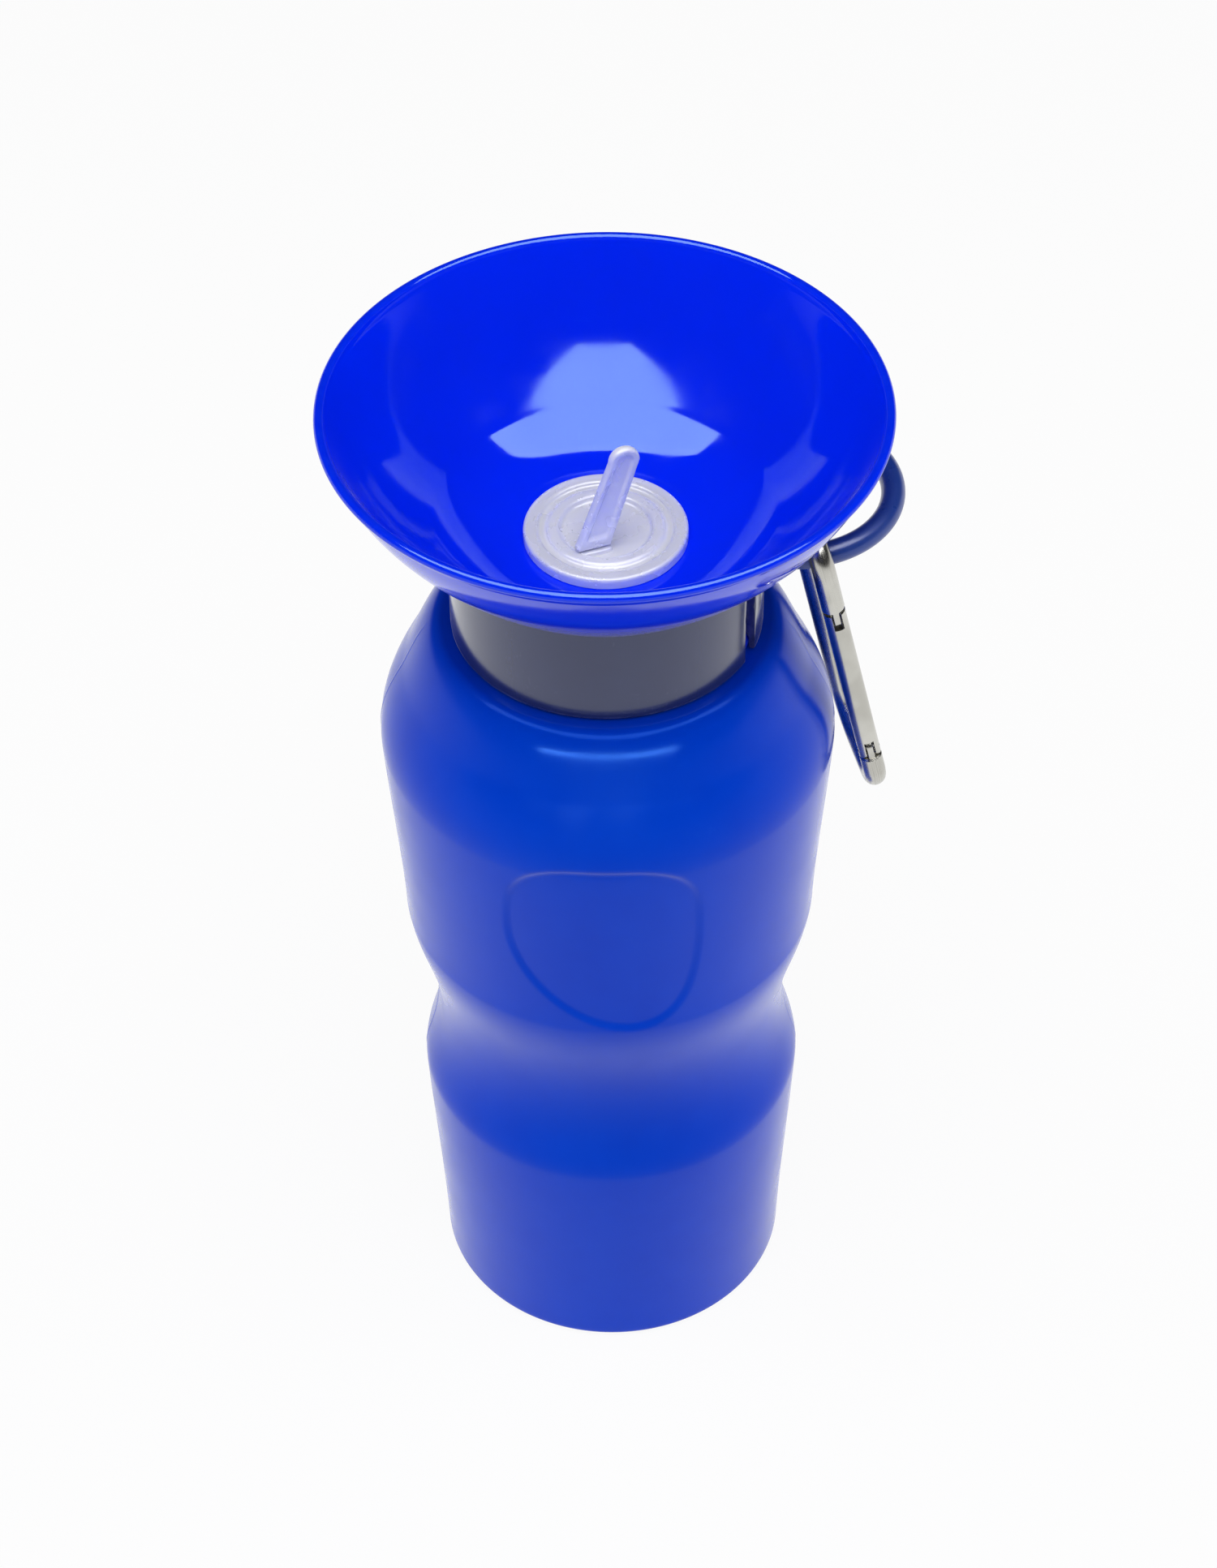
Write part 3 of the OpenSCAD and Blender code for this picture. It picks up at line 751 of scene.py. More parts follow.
class Wardrobe:
    """Makes each finish once and dresses pieces in it."""

    def __init__(self) -> None:
        """Builds the shared node groups."""
        self.kit = ShaderKit()
        self.made = {}

    def dress(self, piece: bpy.types.Object, finish) -> bpy.types.Object:
        """Gives a piece its finish and the material slot of the same name.

        Args:
            piece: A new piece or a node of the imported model.
            finish: The finish.

        Returns:
            The same piece.
        """
        if finish.name not in self.made:
            self.made[finish.name] = finish.material(self.kit)
        if not piece.data.materials:
            piece.data.materials.append(None)
        for k in range(len(piece.data.materials)):
            piece.data.materials[k] = self.made[finish.name]
        return piece

    def fit(self, piece: bpy.types.Object, body: str, finish, *nodes: str) -> bpy.types.Object:
        """Dresses a new piece, lets it ride on a body and puts it in the place of CAD nodes."""
        self.dress(piece, finish)
        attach(piece, body)
        if nodes:
            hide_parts(*nodes)
        LOG.info("%s: %d points on %s", piece.name, len(piece.data.vertices), body)
        return piece


def top_of(node: str) -> float:
    """Height of a node's top in millimetres."""
    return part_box(node)[1].z / MM


def foot_of(node: str) -> float:
    """Height of a node's lowest point in millimetres."""
    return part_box(node)[0].z / MM


def reach_of(node: str) -> float:
    """Largest distance of a node along X in millimetres."""
    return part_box(node)[1].x / MM


# ---------------------------------------------------------------- bottle


@dataclass
class Bottle:
    """Blown bottle with a waist, a thumb pad on its front and a threaded neck."""

    base_r: float = 37.6
    hip: tuple = (40.6, 57.5)
    waist: tuple = (37.2, 77.5)
    belly: tuple = (42.9, 107.0)
    shoulder: tuple = (46.05, 154.0)
    slope: tuple = (41.0, 170.3)
    deck_r: float = 32.6
    wall: float = 1.3
    floor: float = 2.0
    foot_edge: float = 1.8
    mouth_r: float = 22.5
    neck_r: float = 24.6
    neck_h: float = 17.2
    thread_r: float = 26.3
    thread_turns: float = 1.25
    thread_pitch: float = 4.0
    pad_size: tuple = (40.0, 48.0)
    pad_depth: float = 0.6
    pad_centre: tuple = (-1.5, 136.8)
    pad_skew: float = 6.0
    pad_edge: float = 1.5

    def __post_init__(self) -> None:
        """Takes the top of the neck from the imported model."""
        self.lip_z = top_of("bottle")
        self.deck_z = self.lip_z - self.neck_h

    def outside(self) -> Array:
        """Outer profile from the foot's edge to the deck, as six joined cubic curves."""
        (hr, hz), (wr, wz), (br, bz), (sr, sz), (lr, lz) = (
            self.hip, self.waist, self.belly, self.shoulder, self.slope)
        foot = (self.base_r, self.foot_edge)
        deck = (self.deck_r, self.deck_z)
        return np.concatenate([
            [foot],
            bezier([foot, (foot[0] + 0.5, 20), (hr - 0.4, hz - 12), (hr, hz)], 40),
            bezier([(hr, hz), (hr, hz + 4.5), (wr, wz - 10.5), (wr, wz)], 24),
            bezier([(wr, wz), (wr, wz + 12.5), (br - 1, bz - 9), (br, bz)], 34),
            bezier([(br, bz), (br + 0.3, bz + 13), (sr - 0.45, sz - 10), (sr, sz)], 50),
            bezier([(sr, sz), (sr, sz + 6.5), (lr + 2.4, lz - 4.8), (lr, lz)], 26),
            bezier([(lr, lz), (lr - 2.5, lz + 5.4), (deck[0] + 3.6, deck[1]), deck], 20)])

    def profile(self) -> Array:
        """Whole section of the hollow bottle, from the middle of its underside to its inner floor."""
        outer = self.outside()
        pole = outer[:, 1]
        fine = evenly(outer[(pole > 100) & (pole < 163)], 0.65)
        outer = np.concatenate([outer[pole <= 100], fine, outer[pole >= 163]])
        inner = aside(outer[::3], self.wall)
        high = self.deck_z - self.wall
        inner = inner[(inner[:, 1] > self.floor + 2.5) & (inner[:, 1] < high - 0.3)][::-1]
        r0, r1 = self.base_r - 10.6, self.base_r - 6.6
        under = rounded([(0, 0), (r0, 0), (r0 + 1, 1), (r1 - 1, 1), (r1, 0), (self.base_r - self.foot_edge, 0)],
                        [0, 0.6, 0.6, 0.6, 0.6, 0])
        foot = arc((self.base_r - self.foot_edge, self.foot_edge), self.foot_edge, -85, -10, 8)
        neck = rounded([outer[-1], (self.neck_r, self.deck_z), (self.neck_r, self.lip_z),
                        (self.mouth_r, self.lip_z), (self.mouth_r, high), inner[0]],
                       [0, 0.8, 0.7, 0.5, 1.0, 0])
        inside = rounded([inner[-1], (self.base_r - self.wall - 0.2, self.floor + 2),
                          (self.base_r - self.wall - 2.2, self.floor), (0, self.floor)], [0, 1.0, 1.0, 0])
        return np.concatenate([under[:-1], foot, outer, neck[1:-1], inner, inside[1:]])

    def angles(self) -> Array:
        """Angles of the columns: fine across the pad at the front and close together at both seams."""
        front = np.radians(np.arange(-124, -56, 0.62))
        rest = np.radians(np.arange(-56, 236, 2.25))
        seams = np.radians([-1.2, -0.6, -0.3, 0.3, 0.6, 1.2, 178.8, 179.4, 179.7, 180.3, 180.6, 181.2, 180.0])
        return np.unique(np.round(np.concatenate([front, rest, seams]), 5))

    def swell(self, r: Array, z: Array, a: Array) -> Array:
        """How far the outside moves: the sunk thumb pad and the parting seam.

        The pad's outline is a rounded square above its middle and a skewed ellipse below it. A point's
        depth inside the outline is its distance from the middle times one over its share of the outline
        less one, and the pad sinks in with a smooth step over its edge. The seam is a narrow ridge at both
        sides, a bell curve of the distance from the seam's plane.

        Args:
            r: Radii of the grid.
            z: Heights of the grid.
            a: Angles of the grid.

        Returns:
            Distance outwards for each point.
        """
        turn = np.arctan2(np.sin(a + math.pi / 2), np.cos(a + math.pi / 2))
        x = turn * r - self.pad_centre[0]
        h = z - self.pad_centre[1]
        half, up, down = self.pad_size[0] / 2, 0.4 * self.pad_size[1], 0.6 * self.pad_size[1]
        low = h < 0
        x = x - np.where(low, self.pad_skew * np.minimum(h / down, 1.3) ** 2, 0)
        power = np.where(low, 2.0, 3.0)
        share = (np.abs(x / half) ** power + np.abs(h / np.where(low, down, up)) ** power) ** (1 / power)
        depth = np.hypot(x, h) * (1 / np.maximum(share, 1e-3) - 1)
        edge = smooth(depth, -self.pad_edge / 2, self.pad_edge / 2)
        pad = -self.pad_depth * edge
        outer = r > np.interp(z, *self.outside_table()) - self.wall / 2
        seam = 0.09 * np.exp(-(np.sin(a) * r / 0.22) ** 2) * smooth(z, 3, 8) * smooth(self.deck_z - z, 1, 5)
        front = np.cos(turn) > 0.3
        return np.where(outer, np.where(front, pad, 0) + seam, 0)

    def outside_table(self) -> tuple[Array, Array]:
        """Heights and radii of the outer profile, for looking a radius up."""
        path = self.outside()
        return path[:, 1], path[:, 0]

    def build(self, wardrobe: Wardrobe) -> None:
        """Makes the bottle and the ridge of its neck's thread."""
        body = turned("bottle_shell", self.profile(), self.angles(), self.swell)
        wardrobe.fit(body, "bottle", BOTTLE_BLUE, "bottle")
        ridge = screw_ridge("neck_thread", self.neck_r - 0.4, self.thread_r, self.thread_turns,
                            self.deck_z + 7, self.thread_pitch, 0)
        wardrobe.fit(ridge, "bottle", BOTTLE_BLUE)


# ---------------------------------------------------------------- bowl, seal and tube


@dataclass
class Bowl:
    """Drinking bowl with its lip, port, spigot and threaded skirt, and the seal and tube under it."""

    rim_r: float = 55.0
    foot_r: float = 32.2
    height: float = 30.1
    wall: float = 1.9
    lip_r: float = 1.05
    bulge: float = 2.7
    floor_r: float = 19.5
    port_r: float = 11.5
    port_d: float = 11.3
    well_wall: float = 1.6
    skirt_in: float = 26.9
    skirt_r: float = 28.9
    bead_r: float = 29.6
    tube_r: float = 5.0
    tube_wall: float = 0.8
    bore_play: float = 0.03
    thread_h: float = 1.9
    thread_pitch: float = 4.0
    thread_turns: float = 1.25

    def __post_init__(self) -> None:
        """Takes the bowl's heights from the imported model."""
        self.rim_z = top_of("bowl")
        self.foot_z = self.rim_z - self.height
        self.floor_z = self.foot_z - 2.4
        self.under_z = self.floor_z - 2
        self.skirt_z = top_of("bottle") - 16.2
        self.spigot_z = foot_of("bowl") if foot_of("bowl") > self.skirt_z else self.skirt_z + 2

    def side(self, count: int) -> Array:
        """Outer side: a straight cone that bulges by a half sine wave."""
        s = np.linspace(0, 1, count)
        r = self.foot_r + (self.rim_r - 0.6 - self.foot_r) * s + self.bulge * np.sin(math.pi * s)
        return np.stack([r, self.foot_z + (self.height - 1.9) * s], axis=1)

    def profile(self) -> Array:
        """Closed section: skirt, outer side, rolled lip, inner side, floor, port and spigot."""
        side = self.side(56)
        inside = aside(side, self.wall)
        rib = self.lip_r
        centre = np.array([self.rim_r - rib, self.rim_z - rib])
        skirt = rounded([(self.skirt_in, self.skirt_z), (self.bead_r, self.skirt_z),
                         (self.bead_r, self.skirt_z + 1.0), (self.skirt_r, self.skirt_z + 2.0),
                         (self.skirt_r, self.foot_z - 0.35), (self.foot_r - 0.5, self.foot_z - 0.1),
                         side[3]], [0, 0.4, 0.4, 0.6, 0.3, 0.8, 0])
        lip = arc(centre, rib, -20, 172, 24)
        turn = inside[5]
        dish = bezier([(self.floor_r, self.floor_z), (self.floor_r + 6, self.floor_z), turn - [2.6, 2.6],
                       turn], 22)[::-1]
        seat = self.spigot_z
        bore = self.tube_r - self.tube_wall
        well = self.floor_z - self.port_d
        port = rounded([(self.floor_r, self.floor_z), (self.port_r, self.floor_z), (self.port_r, well),
                        (bore, well), (bore, well - 1), (self.tube_r + self.bore_play, well - 1),
                        (self.tube_r + self.bore_play, seat), (self.tube_r + 2, seat),
                        (self.tube_r + 2, well - 2), (self.port_r + self.well_wall, well - 2),
                        (self.port_r + self.well_wall, self.under_z), (self.skirt_in, self.under_z),
                        (self.skirt_in, self.skirt_z)],
                       [0, 0.5, 0.8, 0.3, 0.2, 0.2, 0.3, 0.4, 0.8, 0.6, 0.8, 0.6, 0])
        return np.concatenate([skirt[1:], side[4:-1], lip, inside[6:-1][::-1], dish[:-1], port])

    def build(self, wardrobe: Wardrobe) -> None:
        """Makes the bowl, its thread, the tube and the seal."""
        angles = np.linspace(0, 2 * math.pi, 224, endpoint=False)
        wardrobe.fit(turned("drinking_bowl", self.profile(), angles), "bowl", BOWL_BLUE, "bowl")
        ridge = screw_ridge("bowl_thread", self.skirt_in + 0.4, self.skirt_in - self.thread_h,
                            self.thread_turns, self.skirt_z + 3, self.thread_pitch, -90)
        wardrobe.fit(ridge, "bowl", BOWL_BLUE)
        self.build_tube(wardrobe)
        self.build_seal(wardrobe)

    def build_tube(self, wardrobe: Wardrobe) -> None:
        """Tube with softened ends; its section is a ring turned round the axis."""
        low, high = foot_of("dip_tube"), top_of("dip_tube")
        inner, outer = self.tube_r - self.tube_wall, self.tube_r
        levels = np.linspace(low + 1, high - 1, 60)
        wall_out = np.stack([np.full(60, outer), levels], axis=1)
        wall_in = np.stack([np.full(60, inner), levels[::-1]], axis=1)
        middle = (inner + outer) / 2
        half = self.tube_wall / 2
        top = arc((middle, high - half), half, 0, 180, 8)
        foot = arc((middle, low + half), half, 180, 360, 8)
        profile = np.concatenate([wall_out, top, wall_in, foot])
        angles = np.linspace(0, 2 * math.pi, 64, endpoint=False)
        wardrobe.fit(turned("dip_tube_clear", profile, angles), "bowl", TUBE_CLEAR, "dip_tube")

    def build_seal(self, wardrobe: Wardrobe) -> None:
        """Flat ring with two fine sealing beads on its outer half."""
        low, high = foot_of("gasket"), top_of("gasket")
        outer = reach_of("gasket")
        inner = outer - 3.8
        rise = 0.12
        u = np.linspace(0, 1, 41)
        ripple = rise * (0.5 + 0.5 * np.cos(4 * math.pi * u))
        top = np.stack([outer - 0.3 - (outer - inner - 0.6) * u, high - rise + ripple - 0.001], axis=1)
        profile = np.concatenate([
            arc((outer - 0.3, low + 0.3), 0.3, -90, 0, 5), arc((outer - 0.3, high - 0.4), 0.3, 0, 80, 5), top,
            arc((inner + 0.3, high - 0.4), 0.3, 100, 180, 5), arc((inner + 0.3, low + 0.3), 0.3, 180, 270, 5)])
        wardrobe.fit(turned("lip_seal", profile), "seal", SILICONE, "gasket")


# ---------------------------------------------------------------- plug and tab


@dataclass
class Stopper:
    """Soft plug that closes the port, with its rings and its pull tab."""

    cap_r: float = 16.1
    stem_r: float = 11.42
    stem_wall: float = 2.8
    stem_h: float = 5.0
    cap_h: float = 2.4
    dish_r: float = 8.6
    dish_d: float = 1.0
    tab_w: float = 7.2
    tab_len: float = 18.0
    tab_t: float = 2.0
    web_t: float = 0.95
    rib_w: float = 1.15
    tab_skew: float = 6.7
    tab_lean: float = 3.0
    tab_azimuth: float = 20.0
    seat_half: tuple = (3.6, 1.4)

    def __post_init__(self) -> None:
        """Takes the cap's top and the tab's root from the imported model."""
        self.cap_z = top_of("plug")
        self.floor_z = self.cap_z - self.cap_h
        fold = next(j for j in frame["joints"] if j["name"] == "tab_fold")
        self.root = np.array(fold["pos_m"], float) / MM

    def profile(self) -> Array:
        """Section of the plug: hollow stem, cap, outer ring, groove, inner ring and dish."""
        z, f, top = self.cap_z, self.floor_z, self.cap_z - self.dish_d
        hollow = self.stem_r - self.stem_wall
        corners = [(0, top - 1.6), (hollow, top - 1.6), (hollow, f - self.stem_h),
                   (self.stem_r - 0.8, f - self.stem_h), (self.stem_r, f - self.stem_h + 1.2),
                   (self.stem_r, f), (self.cap_r, f), (self.cap_r, z), (self.stem_r + 2.1, z),
                   (self.stem_r + 1.6, z - 0.7), (self.stem_r + 0.5, z - 0.7), (self.stem_r - 0.2, z),
                   (self.dish_r + 0.8, z), (self.dish_r, top), (0, top)]
        radii = [0, 0.4, 0.5, 0.5, 0.5, 0.15, 0.3, 0.9, 0.5, 0.35, 0.35, 0.5, 0.4, 0.5, 0]
        return rounded(corners, radii, 6)

    def seat(self) -> bpy.types.Object:
        """Low block under the tab: a rounded section carried up and drawn in at its top.

        Its section is a rectangle with an exponent-four superellipse outline.
        """
        a = np.linspace(0, 2 * math.pi, 48, endpoint=False)
        c, s = np.cos(a), np.sin(a)
        wide, deep = self.seat_half
        section = np.stack([wide * np.sign(c) * np.abs(c) ** 0.5, deep * np.sign(s) * np.abs(s) ** 0.5], axis=1)
        turn = math.radians(self.tab_azimuth)
        up = np.array([-math.sin(turn), math.cos(turn), 0])
        low = self.cap_z - self.dish_d - 0.3
        levels = np.array([0, 0.5, 0.9, 1.05, 1.15, 1.22, 1.26])
        scale = np.array([1.08, 1.0, 0.99, 0.97, 0.92, 0.84, 0.7])
        path = np.stack([np.full(7, self.root[0]), np.full(7, self.root[1]), low + levels], axis=1)
        return swept("tab_seat", path, section, up, scale)

    def tab(self) -> bpy.types.Object:
        """Pull tab: a slanted tongue with a rib all round its web.

        Row v runs from the root to the round tip and column u across it, over the front face and back
        over the other. The middle of a row moves sideways with the skew, and its half width narrows
        evenly, then as a half circle at the tip. The half thickness grows from nothing at the outline to
        the rib with a quarter-round, and falls to the web with a smooth step one rib further in.

        Returns:
            The tab.
        """
        tip_r = 0.43 * self.tab_w
        full = self.tab_len + tip_r
        v = np.concatenate([[0.0, 0.15, 0.4, 0.8], np.linspace(1.2, full - 1.6, 70),
                            full - np.array([1.2, 0.8, 0.5, 0.3, 0.15, 0.06, 0.0])])
        t = np.linspace(-1, 1, 65)
        u = np.sin(t * math.pi / 2)
        u = 0.5 * (u + t)
        base = self.tab_w / 2 + (tip_r - self.tab_w / 2) * np.clip(v / self.tab_len, 0, 1)
        over = np.clip((v - self.tab_len) / tip_r, 0, 1)
        half = base * np.sqrt(np.maximum(1 - over ** 2, 0))
        centre = self.tab_skew * np.clip(v / self.tab_len, 0, 1)
        x = centre[:, None] + half[:, None] * u[None, :]
        h = np.broadcast_to(v[:, None], x.shape)
        sides = base[:, None] - np.hypot(x - centre[:, None], np.maximum(h - self.tab_len, 0))
        inward = np.maximum(np.minimum(sides, h + 0.35), 0)
        nose = 0.55
        edge = np.sqrt(np.clip(1 - (1 - np.clip(inward / nose, 0, 1)) ** 2, 0, 1))
        web = smooth(inward, self.rib_w, self.rib_w + 0.7) * smooth(h, 1.2, 2.2)
        thick = edge * (self.tab_t / 2 - (self.tab_t - self.web_t) / 2 * web)
        front = np.stack([x, -thick, h], axis=-1)
        back = np.stack([x, thick, h], axis=-1)[:, ::-1][:, 1:-1]
        ring = np.concatenate([front, back], axis=1)
        rows, columns = ring.shape[:2]
        tilt = Matrix.Rotation(math.radians(self.tab_azimuth), 3, "Z") @ Matrix.Rotation(
            math.radians(-self.tab_lean), 3, "X")
        points = ring.reshape(-1, 3) @ np.array(tilt).T + self.root
        last = (rows - 1) * columns
        ends = np.stack([points[:columns].mean(axis=0), points[last:].mean(axis=0)])
        j = np.arange(columns)
        j2 = (j + 1) % columns
        triangles = np.concatenate([
            np.stack([np.full(columns, rows * columns), j2, j], axis=1),
            np.stack([np.full(columns, rows * columns + 1), last + j, last + j2], axis=1)])
        rim = 1 - smooth(inward, 0.1, 0.9)
        edge_front, edge_back = rim, rim[:, ::-1][:, 1:-1]
        edges = np.concatenate([np.concatenate([edge_front, edge_back], axis=1).ravel(), [0, 0]])
        flat = np.concatenate([ring.reshape(-1, 3)[:, [0, 2]], [[0, 0], [self.tab_skew, full]]])
        return build_mesh("pull_tab_soft", np.concatenate([points, ends]),
                          grid_quads(rows, columns, False, True), triangles, edges, flat, 50)

    def hinge(self) -> bpy.types.Object:
        """Rolled root of the tab: a short rod with rounded ends along the fold."""
        turn = math.radians(self.tab_azimuth)
        run = np.array([math.cos(turn), math.sin(turn), 0])
        s = np.linspace(-self.tab_w / 2, self.tab_w / 2, 16)
        path, scale = soft_ends(self.root + s[:, None] * run, 1.0, 0.4)
        return swept("tab_root", path, round_section(0.99, 28), (0, 0, 1), scale)

    def build(self, wardrobe: Wardrobe) -> None:
        """Makes the plug, its seat and the tab."""
        angles = np.linspace(0, 2 * math.pi, 128, endpoint=False)
        wardrobe.fit(turned("port_plug", self.profile(), angles), "plug", SILICONE, "plug")
        wardrobe.fit(self.seat(), "plug", SILICONE)
        wardrobe.fit(self.tab(), "tab", SILICONE, "pull_tab")
        wardrobe.fit(self.hinge(), "tab", SILICONE)


# ---------------------------------------------------------------- collar and loop


@dataclass
class Collar:
    """Split sleeve with two sockets, and the loop whose ends sit in them."""

    inner_r: float = 28.98
    wall: float = 2.0
    relief_r: float = 29.75
    split_w: float = 4.4
    split_azimuth: float = -25.4
    loop_r: float = 20.5
    loop_dist: float = 40.5
    loop_azimuth: float = 25.6
    leg_turn: float = 25.6
    rod_r: float = 2.4
    leg_r: float = 2.34
    leg_len: float = 6.24
    boss_r: float = 3.6
    boss_out: float = 3.0

    def __post_init__(self) -> None:
        """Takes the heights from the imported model."""
        self.low, self.high = foot_of("collar"), top_of("collar")
        low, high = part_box("carry_loop")
        self.loop_z = (low.z + high.z) / 2 / MM

    def sleeve(self) -> bpy.types.Object:
        """Sleeve: a rounded wall section carried round the axis from one side of the split to the other.

        The half angle of the split at a point is the arc sine of half the split over its radius, so the
        split's sides are parallel. Near both ends the section shrinks a little for a soft edge.

        Returns:
            The sleeve.
        """
        outer = self.inner_r + self.wall
        corners = [(outer, (self.low + self.high) / 2), (outer, self.high), (self.inner_r, self.high),
                   (self.inner_r, self.low + 3.4), (self.relief_r, self.low + 2.7), (self.relief_r, self.low),
                   (outer, self.low), (outer, (self.low + self.high) / 2)]
        section = evenly(rounded(corners, [0, 0.8, 0.5, 0.2, 0.2, 0.3, 0.8, 0], 6), 0.45)[:-1]
        share = np.concatenate([[0.0, 0.0004, 0.0012, 0.0025], np.linspace(0.005, 0.995, 220),
                                [0.9975, 0.9988, 0.9996, 1.0]])
        soft = np.minimum(share, 1 - share)
        draw = 0.3 * (1 - np.sqrt(np.clip(1 - (1 - np.clip(soft / 0.0025, 0, 1)) ** 2, 0, 1)))
        middle = section.mean(axis=0)
        pull = section - middle
        pull = pull / np.linalg.norm(pull, axis=1, keepdims=True)
        r = section[None, :, 0] - draw[:, None] * pull[None, :, 0]
        z = section[None, :, 1] - draw[:, None] * pull[None, :, 1]
        gap = np.arcsin(self.split_w / 2 / section[:, 0])[None, :]
        start = math.radians(self.split_azimuth)
        a = start + gap + (2 * math.pi - 2 * gap) * share[:, None]
        grid = np.stack([r * np.cos(a), r * np.sin(a), z], axis=-1)
        rows, columns = grid.shape[:2]
        points = grid.reshape(-1, 3)
        last = (rows - 1) * columns
        ends = np.stack([points[:columns].mean(axis=0), points[last:].mean(axis=0)])
        j = np.arange(columns)
        j2 = (j + 1) % columns
        triangles = np.concatenate([
            np.stack([np.full(columns, rows * columns), j2, j], axis=1),
            np.stack([np.full(columns, rows * columns + 1), last + j, last + j2], axis=1)])
        edge = np.maximum(edge_of(section, True)[None, :], smooth(draw, 0.05, 0.25)[:, None])
        edges = np.concatenate([edge.ravel(), [0, 0]])
        along = np.concatenate([np.stack([a * r, z], axis=-1).reshape(-1, 2), [[0, 0], [0, 0]]])
        return build_mesh("collar_sleeve", np.concatenate([points, ends]),
                          grid_quads(rows, columns, False, True), triangles, edges, along)

    def legs(self) -> list:
        """Start, direction and end of each of the loop's two legs, from the sleeve to the bend."""
        found = []
        for side in (-1, 1):
            turn = math.radians(self.loop_azimuth + side * self.leg_turn)
            run = np.array([math.cos(turn), math.sin(turn), 0])
            out = math.radians(self.loop_azimuth)
            centre = np.array([self.loop_dist * math.cos(out), self.loop_dist * math.sin(out), self.loop_z])
            away = np.array([math.sin(turn), -math.cos(turn), 0]) * (1 if side < 0 else -1)
            end = centre + self.loop_r * away
            found.append((end - run * self.leg_len, run, end))
        return found

    def boss(self, name: str, start: Array, run: Array) -> bpy.types.Object:
        """Socket on the sleeve: a short round boss that swells a little where it meets the wall."""
        share = np.array([0, 0.25, 0.5, 0.75, 0.88, 0.95, 0.985, 1.0, 1.0])
        scale = np.array([1.06, 1.03, 1.0, 1.0, 0.99, 0.96, 0.92, 0.86, 0.72])
        path = start + run * ((self.boss_out + 1.0) * share[:, None])
        path[-1] += run * 0.01
        return swept(name, path, round_section(self.boss_r, 48), (0, 0, 1), scale)

    def loop(self) -> bpy.types.Object:
        """Loop: a round rod along the near leg, round the bend and back along the far leg."""
        (near, run_near, near_end), (far, run_far, far_end) = self.legs()
        out = math.radians(self.loop_azimuth)
        centre = np.array([self.loop_dist * math.cos(out), self.loop_dist * math.sin(out)])
        sweep_from = self.loop_azimuth - 90 - self.leg_turn
        sweep_to = self.loop_azimuth + 90 + self.leg_turn
        bend = arc(tuple(centre), self.loop_r, sweep_from, sweep_to, 120)
        bend = np.column_stack([bend, np.full(len(bend), self.loop_z)])
        lead_in = near + run_near * np.linspace(0.1, self.leg_len - 0.2, 10)[:, None]
        lead_out = far + run_far * np.linspace(self.leg_len - 0.2, 0.1, 10)[:, None]
        path = np.concatenate([lead_in, bend, lead_out])
        on_leg = np.ones(len(path))
        on_leg[:10] = self.leg_r / self.rod_r
        on_leg[-10:] = self.leg_r / self.rod_r
        return swept("carry_loop_rod", path, round_section(self.rod_r, 48), (0, 0, 1), on_leg)

    def build(self, wardrobe: Wardrobe) -> None:
        """Makes the sleeve, its two sockets and the loop."""
        wardrobe.fit(self.sleeve(), "collar", COLLAR_GREY, "collar")
        for name, (start, run, _) in zip(("loop_socket_near", "loop_socket_far"), self.legs()):
            wardrobe.fit(self.boss(name, start - run * 0.6, run), "collar", COLLAR_GREY)
        wardrobe.fit(self.loop(), "collar", LOOP_NAVY, "carry_loop")


# ---------------------------------------------------------------- carabiner


